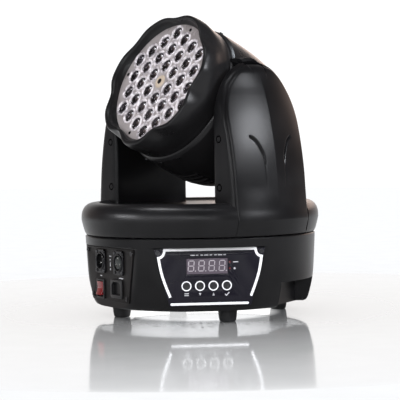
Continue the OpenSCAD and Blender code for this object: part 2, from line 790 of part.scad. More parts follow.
module front_shell() {
    color([0.09, 0.09, 0.10]) in_head() difference() {
        union() {
            turned(front_wall);
            translate([0, 0, 71 - eps]) linear_extrude(rim_plane - 71) rim_outline(0, 6);
            translate([0, 0, 22]) cylinder(r = 90.4, h = waist_plane - 22 + eps);
        }
        translate([0, 0, 21]) cylinder(r = 88.6, h = 43);
        translate([0, 0, 60]) cylinder(r = 80.4, h = 12);
        translate([0, 0, lens_plane - 2.4]) cylinder(r = lens_plate_r + seat, h = 2.4 + eps);
        translate([0, 0, lens_plane]) linear_extrude(20) rim_outline(4, 5);
        head_screw_holes(1.6);
    }
}

module lens_spots() {
    for (row = [-3 : 3]) for (k = [0 : 6 - abs(row)])
        if (row != 0 || k != 3)
            translate([row * lens_pitch * sqrt(3) / 2, (k - (6 - abs(row)) / 2) * lens_pitch, 0])
                children();
}

module lens_plate() {
    color([0.80, 0.78, 0.78]) in_head() difference() {
        translate([0, 0, lens_plane - 2.4]) cylinder(r = lens_plate_r, h = 2.4);
        lens_spots() translate([0, 0, 60]) cylinder(r = lens_r + seat, h = 20);
        translate([0, 0, 60]) cylinder(r = 2, h = 20, $fn = 24);
    }
}

module lenses() {
    color([0.55, 0.53, 0.60, 0.6]) in_head() lens_spots() intersection() {
        translate([0, 0, 63.4]) cylinder(r = lens_r, h = 12, $fn = 40);
        translate([0, 0, lens_plane + 1.6 - 26]) sphere(r = 26, $fn = 48);
    }
}

module led_board() {
    color([0.85, 0.85, 0.85]) in_head() difference() {
        translate([0, 0, 60]) cylinder(r = 78.5, h = 1.6);
        translate([0, 0, 50]) cylinder(r = 2, h = 20, $fn = 24);
    }
}

module led_emitters() {
    color([0.9, 0.85, 0.5]) in_head() lens_spots() translate([0, 0, 61.6]) {
        cylinder(r = 3.6, h = 0.8, $fn = 24);
        cylinder(r = 2.4, h = 1.6, $fn = 24);
    }
}

module heat_sink() {
    color([0.70, 0.71, 0.73]) in_head() {
        translate([0, 0, 54]) cylinder(r = 78.5, h = 6 - seat);
        intersection() {
            translate([0, 0, 30]) cylinder(r = 78, h = 24.5);
            for (k = [-9 : 9]) translate([k * 8, 0, 0]) block(2, 160, 28, 54.5);
        }
    }
}

module head_chassis() {
    color([0.55, 0.56, 0.58]) in_head() {
        difference() {
            tube(88.3, 46, 24, 28);
            head_screw_holes(1.5);
        }
        at_corners(fan_post, fan_post) translate([0, 0, fan_z1 + seat])
            cylinder(r = 3.4, h = 24.1 - fan_z1, $fn = 24);
        for (s = [-1, 1]) difference() {
            translate([s * (chassis_x - 1.5), 0, 0]) block(3, 44, -22, 24.1);
            along_tilt(s) translate([0, 0, 60]) cylinder(r = 7, h = 40);
        }
    }
}

module rear_shell() {
    color([0.11, 0.11, 0.12]) in_head() difference() {
        turned(rear_wall);
        turned(concat([[30, -93]], [for (q = rear_wall) if (q[1] > -91) [q[0] - head_wall, q[1]]],
            [[93.4 - head_wall, waist_plane + 2]]));
        for (s = [-1, 1]) along_tilt(s) translate([0, 0, 60]) cylinder(r = axle_r + 1, h = 60);
        head_screw_holes(1.6);
        // Rings of slots that the fan blows through.
        for (r = [12, 20, 28, 36]) difference() {
            tube(r + 1.6, r - 1.6, -100, -90);
            for (a = [0 : 60 : 120]) rotate([0, 0, a]) block(100, 5, -110, -80);
        }
        // Louvres in the underside and the top.
        for (s = [-1, 1], k = [0 : 3]) translate([0, s * 90, -18 - 9 * k])
            cube([56, 30, 3.4], center = true);
    }
}

module fan_frame() {
    color([0.06, 0.06, 0.06]) in_head() {
        difference() {
            translate([0, 0, fan_z0]) linear_extrude(fan_z1 - fan_z0) offset(r = 6, $fn = 24)
                square(68, center = true);
            translate([0, 0, fan_z0 - 1]) cylinder(r = 38, h = 30);
            at_corners(fan_post, fan_post) translate([0, 0, fan_z0 - 1])
                cylinder(r = 2.2, h = 30, $fn = 24);
        }
        for (a = [20 : 120 : 260]) rotate([0, 0, a]) translate([26, 0, 0]) block(26, 3, fan_z1 - 3, fan_z1);
        translate([0, 0, fan_z1 - 3]) cylinder(r = 17, h = 3);
    }
}

module fan_rotor() {
    color([0.10, 0.10, 0.10]) in_head() {
        translate([0, 0, fan_z0 + 1]) cylinder(r = 17, h = 15.4);
        for (a = [0 : 360 / 7 : 359]) rotate([0, 0, a]) translate([26.4, 0, (fan_z0 + fan_z1) / 2 - 1.5])
            rotate([38, 0, 0]) cube([20, 18, 1.6], center = true);
    }
}

module head_screws() {
    color([0.3, 0.3, 0.31]) in_head() {
        translate([0, 0, lens_plane]) screw(3.6, 1.2, 1.7, 9);
        for (a = head_screw_angles) rotate([0, 0, a]) translate([94.6, 0, head_screw_z])
            rotate([0, 90, 0]) screw(2.6, 1, 1.4, 10);
    }
}

base_shell();
base_plate();
feet();
foot_screws();
control_panel();
display_module();
indicator_leds();
control_board();
tact_switches();
button_menu();
button_down();
button_up();
button_enter();
connector_plate();
panel_screws();
dmx_input();
dmx_output();
dmx_output_insert();
power_inlet();
contact_pins();
switch_frame();
power_rocker();
power_supply();
main_board();
pan_spindle();
pan_pulley();
spindle_nut();
turntable_cover();
turntable_plate();
upright_left();
upright_right();
arm_inner_left();
arm_inner_right();
arm_outer_left();
arm_outer_right();
arm_screws();
pan_bearing();
pan_motor();
pan_pinion();
pan_belt();
tilt_motor();
tilt_motor_bracket();
tilt_pinion();
tilt_belt();
tilt_bearing_left();
tilt_bearing_right();
front_shell();
rear_shell();
lens_plate();
lenses();
led_board();
led_emitters();
heat_sink();
head_chassis();
tilt_axle_left();
tilt_axle_right();
tilt_pulley();
fan_frame();
fan_rotor();
head_screws();
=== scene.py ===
"""Moving head wash light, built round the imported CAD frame.

Lengths are millimetres until mesh() scales them to metres.
"""
import json
from math import acos, asin, atan2, cos, dist, exp, hypot, pi, radians, sin, sqrt, tan

import bmesh
import bpy
from mathutils import Matrix, Vector


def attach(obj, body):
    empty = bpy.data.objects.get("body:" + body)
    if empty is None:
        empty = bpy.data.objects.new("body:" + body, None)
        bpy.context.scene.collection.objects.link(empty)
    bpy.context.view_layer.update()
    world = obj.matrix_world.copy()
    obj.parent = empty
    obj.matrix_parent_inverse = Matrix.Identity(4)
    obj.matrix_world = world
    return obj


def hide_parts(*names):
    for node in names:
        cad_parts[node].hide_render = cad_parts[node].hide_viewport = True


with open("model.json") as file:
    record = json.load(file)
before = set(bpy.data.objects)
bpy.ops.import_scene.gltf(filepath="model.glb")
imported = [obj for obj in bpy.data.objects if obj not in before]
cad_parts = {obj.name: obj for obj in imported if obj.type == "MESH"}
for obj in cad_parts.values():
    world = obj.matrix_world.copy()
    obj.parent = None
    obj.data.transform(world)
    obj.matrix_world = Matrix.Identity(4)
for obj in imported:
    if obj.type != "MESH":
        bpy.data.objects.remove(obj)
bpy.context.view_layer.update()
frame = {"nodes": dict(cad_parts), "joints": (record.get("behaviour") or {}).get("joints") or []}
joints = {j["name"]: j for j in frame["joints"]}

MM = 0.001
TAU = 2 * pi
scene = bpy.context.scene
WELD, SLIVER = 0.002 * MM, 0.001 * MM
GRAIN_DEPTH = 0.0002


# ---- places, from the frame's joints

def turned_about_z(angle):
    return Matrix.Rotation(angle, 4, "Z")


tilt_axis = Vector(joints["tilt"]["axis"])
beam = Vector(joints["fan_spin"]["axis"])
tilt_height = joints["tilt"]["pos_m"][2] / MM
pan_angle = atan2(tilt_axis.y, tilt_axis.x)
tilt_angle = acos(beam.z)
menu_inward = Vector(joints["menu_press"]["axis"])
facet_angle = atan2(-menu_inward.x, menu_inward.y)
FACET_D = 132

BASE = Matrix.Identity(4)
YOKE = turned_about_z(pan_angle)


def moved(place, x, y, z=0):
    return place @ Matrix.Translation((x, y, z))


def on_facet(angle):
    """x to the right, y up and z out of a flat face of the base."""
    return moved(turned_about_z(angle), 0, -FACET_D) @ Matrix.Rotation(pi / 2, 4, "X")


HEAD = moved(YOKE, 0, 0, tilt_height) @ Matrix.Rotation(tilt_angle, 4, "X")
CONTROL = on_facet(facet_angle)
CONNECTOR = on_facet(-facet_angle)
MIRROR_X = Matrix.Scale(-1, 4, (1, 0, 0))


# ---- materials

def new_material(name):
    material = bpy.data.materials.new(name)
    material.use_nodes = True
    nodes = material.node_tree.nodes
    return material, nodes, material.node_tree.links, nodes["Principled BSDF"]


def put(node, **values):
    """Sets a node's sockets, with _ for a space in their names."""
    for socket, value in values.items():
        node.inputs[socket.replace("_", " ")].default_value = value


def noise(nodes, links, scale, detail):
    where = nodes.new("ShaderNodeTexCoord")
    texture = nodes.new("ShaderNodeTexNoise")
    put(texture, Scale=scale, Detail=detail)
    links.new(where.outputs["Object"], texture.inputs["Vector"])
    return texture.outputs["Fac"]


def ramp(nodes, links, source, low, high, start=0.35, end=0.65):
    """Colours or numbers between low and high, following a texture."""
    node = nodes.new("ShaderNodeValToRGB")
    node.color_ramp.elements[0].position = start
    node.color_ramp.elements[1].position = end
    for element, value in zip(node.color_ramp.elements, (low, high)):
        element.color = (*value, 1) if isinstance(value, tuple) else (value, value, value, 1)
    links.new(source, node.inputs["Fac"])
    return node.outputs["Color"]


def surface(name, low, high, rough, grain=0, grain_scale=1800, patch_scale=22, spread=0.15, **sockets):
    """A surface whose colour and roughness drift slightly, with a fine grain in its bump."""
    material, nodes, links, shader = new_material(name)
    patches = noise(nodes, links, patch_scale, 4)
    colour = ramp(nodes, links, patches, low, high, 0.5 - spread, 0.5 + spread)
    links.new(colour, shader.inputs["Base Color"])
    links.new(ramp(nodes, links, patches, *rough, 0.3, 0.7), shader.inputs["Roughness"])
    if grain:
        bump = nodes.new("ShaderNodeBump")
        put(bump, Strength=grain, Distance=GRAIN_DEPTH)
        links.new(noise(nodes, links, grain_scale, 2), bump.inputs["Height"])
        links.new(bump.outputs["Normal"], shader.inputs["Normal"])
    put(shader, **sockets)
    return material


SHELL = surface("moulded_abs", (0.004, 0.0039, 0.0044), (0.0064, 0.0061, 0.0067), (0.28, 0.34), 0.1,
                Specular_IOR_Level=0.2)
# The head's pieces use a copy of the shell plastic painted about twice as light, a painted fill light that lifts
# the shade under and inside the head.
SHELL_HEAD_PAINTED_FILL = surface("moulded_abs_head_painted_fill", (0.0085, 0.0083, 0.0088), (0.0115, 0.011, 0.0118), (0.27, 0.33),
                     0.08, Specular_IOR_Level=0.2)
PANEL = surface("panel_film", (0.005, 0.0045, 0.009), (0.008, 0.007, 0.012), (0.14, 0.22), 0.02,
                Specular_IOR_Level=0.3)
PRINT = surface("white_print", (0.8, 0.8, 0.82), (0.88, 0.88, 0.9), (0.35, 0.45))
PRINT_DIM = surface("worn_print", (0.36, 0.36, 0.38), (0.55, 0.55, 0.58), (0.4, 0.5), patch_scale=400)
WINDOW = surface("display_window", (0.06, 0.044, 0.062), (0.08, 0.062, 0.082), (0.1, 0.16), Coat_Weight=0.5)
SEGMENT = surface("display_segment", (0.3, 0.27, 0.3), (0.4, 0.36, 0.39), (0.25, 0.32))
RED_LAMP = surface("red_lamp", (0.085, 0.012, 0.016), (0.12, 0.018, 0.022), (0.1, 0.16), Coat_Weight=1)
BUTTON = surface("button_cap", (0.01, 0.01, 0.012), (0.016, 0.016, 0.018), (0.3, 0.4), 0.06)
POWDER = surface("powder_coat", (0.0065, 0.0058, 0.0058), (0.011, 0.0095, 0.0095), (0.42, 0.52), 0.45, 900,
                 Specular_IOR_Level=0.22)
BLACK_NICKEL = surface("black_nickel", (0.015, 0.015, 0.017), (0.026, 0.026, 0.029), (0.22, 0.32), 0.05,
                       Metallic=0.8)
PIN = surface("silver_pin", (0.78, 0.77, 0.74), (0.86, 0.85, 0.82), (0.1, 0.18), Metallic=1)
INSERT = surface("contact_insert", (0.008, 0.012, 0.012), (0.014, 0.02, 0.019), (0.35, 0.45), 0.08)
NYLON = surface("socket_nylon", (0.009, 0.009, 0.01), (0.014, 0.014, 0.015), (0.38, 0.48), 0.15)
ROCKER = surface("rocker_red", (0.13, 0.004, 0.007), (0.18, 0.006, 0.01), (0.16, 0.24), Coat_Weight=0.6)
RUBBER = surface("foot_rubber", (0.009, 0.009, 0.01), (0.015, 0.015, 0.016), (0.55, 0.7), 0.5, 700)
SCREW = surface("screw_black", (0.045, 0.045, 0.048), (0.075, 0.075, 0.08), (0.24, 0.36), 0.1, Metallic=0.9)
ZINC = surface("zinc_plate", (0.42, 0.43, 0.45), (0.56, 0.57, 0.58), (0.28, 0.42), 0.15, 600, 60,
               Metallic=1)
SILVER_PLATE = surface("silver_plate", (0.23, 0.205, 0.205), (0.36, 0.325, 0.325), (0.24, 0.36), 0.12, 900,
                       30, Metallic=0.15)
# The lens rims: a pale collar colour broken into light and dark blotches, which are painted glints standing in
# for reflections in the clear optic.
LENS_RIM_PAINTED_GLINTS = surface("lens_rim_painted_glints", (0.25, 0.225, 0.24), (0.74, 0.69, 0.72), (0.06, 0.14), patch_scale=170,
                   spread=0.13, Coat_Weight=1)
# The lens cups are painted dark: painted shade and reflection standing in for the dark look inside the clear
# optic.
LENS_CUP_PAINTED_DARK = surface("lens_cup_painted_shade", (0.016, 0.011, 0.017), (0.075, 0.06, 0.072), (0.08, 0.2), patch_scale=240,
                   Metallic=0.4)
CHIP = surface("led_chip", (0.5, 0.46, 0.36), (0.66, 0.6, 0.44), (0.2, 0.3))
BOSS = surface("centre_boss", (0.34, 0.27, 0.21), (0.44, 0.36, 0.28), (0.3, 0.42), 0.1)
FAN = surface("fan_nylon", (0.01, 0.01, 0.011), (0.016, 0.016, 0.017), (0.42, 0.55), 0.15)
BOARD = surface("circuit_board", (0.01, 0.075, 0.028), (0.016, 0.105, 0.04), (0.3, 0.45), patch_scale=200)
BELT = surface("belt_rubber", 0.01, 0.016, (0.6, 0.75), 0.3, 900)
MOTOR = surface("motor_paint", (0.02, 0.02, 0.022), (0.032, 0.032, 0.034), (0.35, 0.45), 0.1, Metallic=0.3)
WHITE_BOARD = surface("white_mask", 0.62, 0.7, (0.35, 0.45))


def lens_material():
    material, nodes, links, shader = new_material("clear_lens")
    ripple = noise(nodes, links, 500, 1)
    links.new(ramp(nodes, links, ripple, 0.02, 0.07), shader.inputs["Roughness"])
    put(shader, Base_Color=(0.93, 0.92, 0.95, 1), Transmission_Weight=1, IOR=1.49)
    return material


LENS = lens_material()


# ---- mesh helpers

def new_object(name, data):
    obj = bpy.data.objects.new(name, data)
    scene.collection.objects.link(obj)
    return obj


def face_outwards(data, weld=False):
    work = bmesh.new()
    work.from_mesh(data)
    if weld:
        bmesh.ops.remove_doubles(work, verts=work.verts, dist=WELD)
        bmesh.ops.dissolve_degenerate(work, dist=SLIVER, edges=work.edges)
    bmesh.ops.recalc_face_normals(work, faces=work.faces)
    work.to_mesh(data)
    work.free()


def mesh(name, points, faces, place, material, sharp=32):
    """A mesh object from points in millimetres in the given place."""
    data = bpy.data.meshes.new(name)
    data.from_pydata([(place @ Vector(p)) * MM for p in points], [], faces)
    obj = new_object(name, data)
    face_outwards(data, weld=True)
    smooth(obj, sharp)
    data.materials.append(material)
    return obj


def smooth(obj, sharp=32):
    obj.data.shade_smooth()
    obj.data.set_sharp_from_angle(angle=radians(sharp))


def applied(obj):
    """The object with its modifiers turned into its mesh."""
    depsgraph = bpy.context.evaluated_depsgraph_get()
    data = bpy.data.meshes.new_from_object(obj.evaluated_get(depsgraph))
    obj.modifiers.clear()
    obj.data = data
    return obj


def cut(obj, *cutters, sharp=32):
    """Takes the cutters out of the object and deletes them."""
    for cutter in cutters:
        modifier = obj.modifiers.new("cut", "BOOLEAN")
        modifier.operation = "DIFFERENCE"
        modifier.solver = "EXACT"
        modifier.object = cutter
        applied(obj)
        bpy.data.objects.remove(cutter)
    smooth(obj, sharp)
    return obj


def joined(name, objects):
    """One object from several."""
    work = bmesh.new()
    for obj in objects:
        work.from_mesh(obj.data)
    data = bpy.data.meshes.new(name)
    work.to_mesh(data)
    work.free()
    result = new_object(name, data)
    data.materials.append(objects[0].data.materials[0])
    for obj in objects:
        bpy.data.objects.remove(obj)
    return result


def polar(r, turn, z):
    return r * cos(turn), r * sin(turn), z


def grid_faces(rows, columns, close_rows=False, close_columns=True):
    faces = []
    for i in range(rows if close_rows else rows - 1):
        for j in range(columns if close_columns else columns - 1):
            a, b = i * columns, (i + 1) % rows * columns
            k = (j + 1) % columns
            faces.append((a + j, a + k, b + k, b + j))
    return faces


def lathe(name, profile, place, material, steps, closed=False):
    """A solid turned from [radius, height] points."""
    turns = [TAU * k / steps for k in range(steps)]
    points = [polar(r, turn, z) for r, z in profile for turn in turns]
    return mesh(name, points, grid_faces(len(profile), steps, closed), place, material)


def lathes(name, profile, places, material, steps, closed=False):
    """One turned shape in several places, as one object."""
    return joined(name, [lathe("part", profile, place, material, steps, closed) for place in places])


def arcs(corners, steps=5):
    """A profile through [radius, height, fillet] corners, with each corner rounded by its fillet."""
    result = []
    count = len(corners)
    for i, (r, z, fillet) in enumerate(corners):
        here = Vector((r, z))
        if not fillet or i in (0, count - 1):
            result.append((r, z))
            continue
        before = (Vector(corners[i - 1][:2]) - here).normalized() * fillet
        after = (Vector(corners[i + 1][:2]) - here).normalized() * fillet
        for k in range(steps + 1):
            t = k / steps
            point = here + before * (1 - t) ** 2 + after * t ** 2
            result.append((point.x, point.y))
    return result


def spline(points, steps=4):
    """A smooth curve through [x, y] points."""
    result = []
    last = len(points) - 1
    for i in range(last):
        a, b, c, d = (Vector(points[k]) for k in (max(i - 1, 0), i, i + 1, min(i + 2, last)))
        for k in range(steps):
            t = k / steps
            bend, twist = 2 * a - 5 * b + 4 * c - d, 3 * b - a - 3 * c + d
            q = 0.5 * (2 * b + (c - a) * t + bend * t ** 2 + twist * t ** 3)
            result.append((q.x, q.y))
    return result + [tuple(points[last])]


def plate(name, loops, z0, z1, place, material, bevel=0.3, sharp=32):
    """A flat plate between z0 and z1. The first loop is its outline and the others are holes."""
    curve = bpy.data.curves.new(name, "CURVE")
    curve.dimensions = "2D"
    curve.fill_mode = "BOTH"
    curve.extrude = (z1 - z0) / 2 - bevel
    curve.bevel_depth = bevel
    curve.bevel_resolution = 2
    curve.offset = -bevel
    for loop in loops:
        line = curve.splines.new("POLY")
        line.points.add(len(loop) - 1)
        for point, (x, y) in zip(line.points, loop):
            point.co = (x, y, 0, 1)
        line.use_cyclic_u = True
    source = new_object(name, curve)
    data = bpy.data.meshes.new_from_object(source.evaluated_get(bpy.context.evaluated_depsgraph_get()))
    bpy.data.objects.remove(source)
    points = [(v.co.x, v.co.y, v.co.z + (z0 + z1) / 2) for v in data.vertices]
    faces = [tuple(p.vertices) for p in data.polygons]
    return mesh(name, points, faces, place, material, sharp)


def circle(r, x=0, y=0, steps=48):
    return [(x + r * cos(TAU * k / steps), y + r * sin(TAU * k / steps)) for k in range(steps)]


def rounded_box(w, h, r, x=0, y=0, steps=6):
    """A rectangle's outline with round corners."""
    loop = []
    for i, (sx, sy) in enumerate(((1, 1), (-1, 1), (-1, -1), (1, -1))):
        cx, cy = x + sx * (w / 2 - r), y + sy * (h / 2 - r)
        for k in range(steps + 1):
            angle = (i + k / steps) * pi / 2
            loop.append((cx + r * cos(angle), cy + r * sin(angle)))
    return loop


def block(name, w, h, z0, z1, place, material, x=0, y=0, bevel=0.3, corner=0.6):
    return plate(name, [rounded_box(w, h, corner, x, y)], z0, z1, place, material, bevel)


def box_cutter(x0, x1, y0, y1, z0, z1, place):
    corners = [(x, y, z) for z in (z0, z1) for x, y in ((x0, y0), (x1, y0), (x1, y1), (x0, y1))]
    sides = [(k, (k + 1) % 4, (k + 1) % 4 + 4, k + 4) for k in range(4)]
    return mesh("cutter", corners, [(3, 2, 1, 0), (4, 5, 6, 7)] + sides, place, SHELL)


def stroke(path, width):
    """The outline of an open line of [x, y] points, drawn width thick."""
    left, right = [], []
    for i, point in enumerate(path):
        here = Vector(point)
        before = (here - Vector(path[i - 1])).normalized() if i else None
        after = (Vector(path[i + 1]) - here).normalized() if i < len(path) - 1 else None
        along = (before or after) + (after or before)
        along.normalize()
        across = Vector((-along.y, along.x))
        reach = width / 2 / max(0.35, across.dot(Vector((-(after or before).y, (after or before).x))))
        left.append(tuple(here + across * reach))
        right.append(tuple(here - across * reach))
    return left + right[::-1]


def keep(obj, body, slot, *nodes):
    """Rides the piece on its body and hides the CAD nodes it stands for. Its slot is not used."""
    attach(obj, body)
    if nodes:
        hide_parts(*nodes)
    return obj


def printed(name, shapes, z0, z1, place, material, slot, bevel=0.05):
    """Thin marks that stand a little proud of a face, as one piece. Each shape is a list of loops."""
    marks = [plate("part", loops, z0, z1, place, material, bevel) for loops in shapes]
    keep(joined(name, marks), "base", slot)


def ease(x, low, high):
    """0 below low, 1 above high, and smooth in between."""
    t = min(1, max(0, (x - low) / (high - low)))
    return t * t * (3 - 2 * t)


# ---- base

BASE_TOP = 105.5
FOOT_H, FOOT_CIRCLE_R = 16, 107.6
FACET_TOP = 94
BASE_WALL, HUB_R, DECK_R = 3, 26, 120
GRIP_X, GRIP_HALF, GRIP_TOP = 118, 40, 47
BASE_CURVE = spline([(FOOT_H, 136), (20, 139.5), (30, 142.6), (42, 145.4), (54, 147.2), (75, 148.6),
                     (95, 149.6), (BASE_TOP, 150)])


def along(curve, x):
    """The curve's y at x."""
    for (x0, y0), (x1, y1) in zip(curve, curve[1:]):
        if x <= x1:
            return y0 + (y1 - y0) * (x - x0) / (x1 - x0)
    return curve[-1][1]


def soft_min(a, b, k):
    """The smaller of a and b, with the corner between them rounded."""
    h = max(k - abs(a - b), 0) / k
    return min(a, b) - h * h * k / 4


def base_radius(angle, z):
    """The base's outer radius towards an angle, at a height, with the flat faces and the grips."""
    edge = 1.4 * (1 - ease(z, FOOT_H, FOOT_H + 1.8)) ** 2 + 1.2 * ease(z, BASE_TOP - 1.4, BASE_TOP) ** 2
    radius = along(BASE_CURVE, z) - edge
    band = ease(z, FACET_TOP - 0.5, FACET_TOP + 0.7)
    for side in (-1, 1):
        turn = angle - (side * facet_angle - pi / 2)
        turn = (turn + pi) % TAU - pi
        if abs(turn) < 1.2:
            flat = soft_min(radius, FACET_D / cos(turn), 2.6)
            radius += (flat - radius) * (1 - band)
    x, y = abs(cos(angle)), abs(sin(angle))
    if x > 0.5 and z < GRIP_TOP + 2:
        wall = GRIP_X / x
        inside = ease(GRIP_HALF - wall * y, -1, 1) * (1 - ease(z, GRIP_TOP - 0.8, GRIP_TOP + 0.8))
        radius += (wall - radius) * inside
    return radius


def make_base():
    """The base shell, in rings of points that lie closer together where the wall changes."""
    steps = 720
    rows = sorted({FOOT_H + k * 0.6 for k in range(4)} | {FOOT_H + 2 + k * 2.4 for k in range(12)}
                  | {45.4 + k * 0.4 for k in range(9)} | {50 + k * 3 for k in range(15)}
                  | {93.2 + k * 0.25 for k in range(9)} | {96 + k * 2 for k in range(5)}
                  | {104.3, 104.7, 105.1, 105.35, BASE_TOP})
    inner_top = BASE_TOP - BASE_WALL
    angles = [TAU * k / steps for k in range(steps)]
    narrow = [min(base_radius(a, z) for z in rows) - BASE_WALL for a in angles]
    rings = [[spot] * steps for spot in ((HUB_R, inner_top), (HUB_R, BASE_TOP), (DECK_R, BASE_TOP))]
    rings += [[(base_radius(a, z), z) for a in angles] for z in reversed(rows)]
    rings += [[(r, FOOT_H) for r in narrow], [(r, inner_top) for r in narrow]]
    points = [polar(r, a, z) for ring in rings for a, (r, z) in zip(angles, ring)]
    shell = mesh("base_shell_moulded", points, grid_faces(len(rings), steps, True), BASE, SHELL, 40)
    keep(shell, "base", "shell_plastic", "base_shell")


def make_feet():
    profile = arcs([(2.2, 16.9, 0), (11.9, 16.9, 0.5), (12, 14, 0), (11.2, 6, 0), (10.3, 1.2, 0.6),
                    (9.2, 0, 1.2), (5.6, 0, 0.6), (5, 0.8, 0.5), (5, 8, 0.4), (2.2, 8, 0)])
    reach = FOOT_CIRCLE_R * sin(radians(45))
    places = [moved(BASE, sx * reach, sy * reach) for sx in (-1, 1) for sy in (-1, 1)]
    keep(lathes("rubber_feet", profile, places, RUBBER, 64, True), "base", "foot_rubber", "feet")


# ---- control panel

FACE, PRINT_RISE, PRINT_SINK = 2, 0.12, 0.05
PANEL_SCREW = (63.6, 88.8)
BUTTON_X = [-29 + 16.5 * k for k in range(4)]
BUTTON_Z = 47.6
BUTTON_HOLE_R, BUTTON_RING = 4.42, (6.1, 4.75)
LAMP_HOLE_R, SCREW_HOLE_R = 1.6, 1.7
DISPLAY = (-3.4, 71.5, 50.3, 19)
LAMPS = [(24.4, 68.2), (24.4, 76.1)]


def trapezium(top, bottom, z0, z1, corner=1.5):
    corners = [(-bottom, z0), (bottom, z0), (top, z1), (-top, z1)]
    loop = []
    for i, here in enumerate(corners):
        here = Vector(here)
        before = (Vector(corners[i - 1]) - here).normalized() * corner
        after = (Vector(corners[(i + 1) % 4]) - here).normalized() * corner
        loop += [tuple(here + before * (1 - t) ** 2 + after * t ** 2) for t in (0, 0.25, 0.5, 0.75, 1)]
    return loop


def panel_border():
    """The white line round the panel: notched top corners, bowed sides and a separate bar below."""
    top_half, bottom_half, middle = 63, 49.4, 0.5
    right = []
    for k in range(7):
        turn = radians(180 + 90 * k / 6)
        right.append((top_half + 0.2 + 7.4 * cos(turn), 92 + 9.4 * sin(turn)))
    for k in range(1, 9):
        t = k / 8
        bow = 2.4 * sin(pi * t) * (1 - 0.3 * t)
        right.append((top_half + (bottom_half - top_half) * t + bow, 82.4 + (34.2 - 82.4) * t))
    line = [(middle - x, y) for x, y in reversed(right)] + [(middle + x, y) for x, y in right]
    return [stroke(line, 3.1), rounded_box(96, 2.9, 1.3, -0.9, 25.6)]


def digit(x, y, w, h):
    """The seven bars and the dot of one digit, leaning slightly."""
    bars = []
    t, lean = 1.25, 0.09
    cells = [(0, h / 2, 1), (0, 0, 1), (0, -h / 2, 1), (-w / 2, h / 4, 0), (w / 2, h / 4, 0),
             (-w / 2, -h / 4, 0), (w / 2, -h / 4, 0)]
    for cx, cy, flat in cells:
        half = (w / 2 - 0.35) if flat else (h / 4 - 0.35)
        tip = t / 2
        loop = [(-half, 0), (-half + tip, tip), (half - tip, tip), (half, 0), (half - tip, -tip),
                (-half + tip, -tip)]
        if not flat:
            loop = [(b, a) for a, b in loop][::-1]
        bars.append([(x + cx + a + lean * (cy + b), y + cy + b) for a, b in loop])
    bars.append(circle(0.75, x + w / 2 + 1.9, y - h / 2, 12))
    return bars


def arrow(x, y, size, turn):
    """A small triangle that points along turn."""
    return [(x + size * cos(turn + a), y + size * sin(turn + a)) for a in (0, 2.35, -2.35)]


def make_control_panel():
    x, y, w, h = DISPLAY
    holes = [rounded_box(w + 0.3, h + 0.3, 0.5, x, y)]
    holes += [circle(BUTTON_HOLE_R, bx, BUTTON_Z) for bx in BUTTON_X]
    holes += [circle(LAMP_HOLE_R, lx, ly, 24) for lx, ly in LAMPS]
    holes += [circle(SCREW_HOLE_R, side * PANEL_SCREW[0], PANEL_SCREW[1], 24) for side in (-1, 1)]
    panel = plate("control_panel_film", [trapezium(68.5, 50, 23, 93)] + holes, 0, FACE, CONTROL, PANEL, 0.35)
    keep(panel, "base", "panel_gloss", "control_panel")

    span = FACE - PRINT_SINK, FACE + PRINT_RISE
    rings = [[circle(r, bx, BUTTON_Z) for r in BUTTON_RING] for bx in BUTTON_X]
    border = [[loop] for loop in panel_border()]
    printed("panel_border_print", border + rings, *span, CONTROL, PRINT, "panel_gloss")

    menu, down, up, enter = BUTTON_X
    symbols = [arrow(down, 37.6, 2, -pi / 2), arrow(up, 37, 2, pi / 2),
               rounded_box(5.4, 1.1, 0.4, menu, 38.4), rounded_box(5.4, 1.1, 0.4, menu, 36.2),
               stroke([(enter - 2.6, 37.2), (enter - 0.7, 35.4), (enter + 2.8, 39.2)], 1.1),
               rounded_box(6.5, 1, 0.4, 31.6, 76.1), circle(1.3, 30.2, 68.2, 16)]
    symbols += [rounded_box(3.2 if k % 3 else 5.4, 1.3, 0.5, -21 + 5.6 * k, 85.2) for k in range(8)]
    printed("panel_symbols", [[loop] for loop in symbols], *span, CONTROL, PRINT_DIM, "panel_gloss")

    window = block("display_window", w, h, -12, FACE + 0.2, CONTROL, WINDOW, x, y, 0.35, 0.5)
    keep(window, "base", "display_filter", "display_module")
    bars = [[bar] for k in range(4) for bar in digit(x - 18.9 + 12.6 * k - 0.6, y + 0.6, 6.6, 12.4)]
    printed("display_digits", bars, FACE + 0.1, FACE + 0.32, CONTROL, SEGMENT, "display_filter", 0.06)

    bulb = [(0, 3.1), (0.5, 3.02), (0.95, 2.8), (1.3, 2.4), (1.48, 1.9), (1.5, -4), (0, -4)]
    lamps = lathes("indicator_lamps", bulb, [moved(CONTROL, lx, ly) for lx, ly in LAMPS], RED_LAMP, 24)
    keep(lamps, "base", "indicator_red", "indicator_leds")

    profile = arcs([(0, 2.15, 0), (1.6, 2.15, 0.6), (2.9, 2.4, 0.5), (4.3, 2.4, 0.7), (4.3, -0.4, 0),
                    (5.5, -0.4, 0.2), (5.5, -6.5, 0.2), (3, -6.5, 0), (3, -3.6, 0), (0, -3.6, 0)])
    for bx, name in zip(BUTTON_X, ("menu", "down", "up", "enter")):
        cap = lathe(f"{name}_cap", profile, moved(CONTROL, bx, BUTTON_Z), BUTTON, 56)
        keep(cap, f"{name}_button", "button_plastic", f"button_{name}")


# ---- connector panel

PLATE = 1.6
XLR_IN, XLR_OUT, XLR_Z, XLR_HOLE_R = -23, 27, 74, 11.95
XLR_PIN_R, XLR_OUT_TURNS = 5.2, (1.571, 3.665, 5.76)
INLET = (21, 41)
SWITCH = (-24, 38.5)
SOCKET_FACE = moved(CONNECTOR, 0, 0, PLATE)


def xlr_ears(x):
    """The two screws of an XLR flange."""
    return [(x - 9.5, XLR_Z + 12), (x + 9.5, XLR_Z - 12)]


def on_pin_circle(turns):
    return [polar(XLR_PIN_R, turn, 0)[:2] for turn in turns]


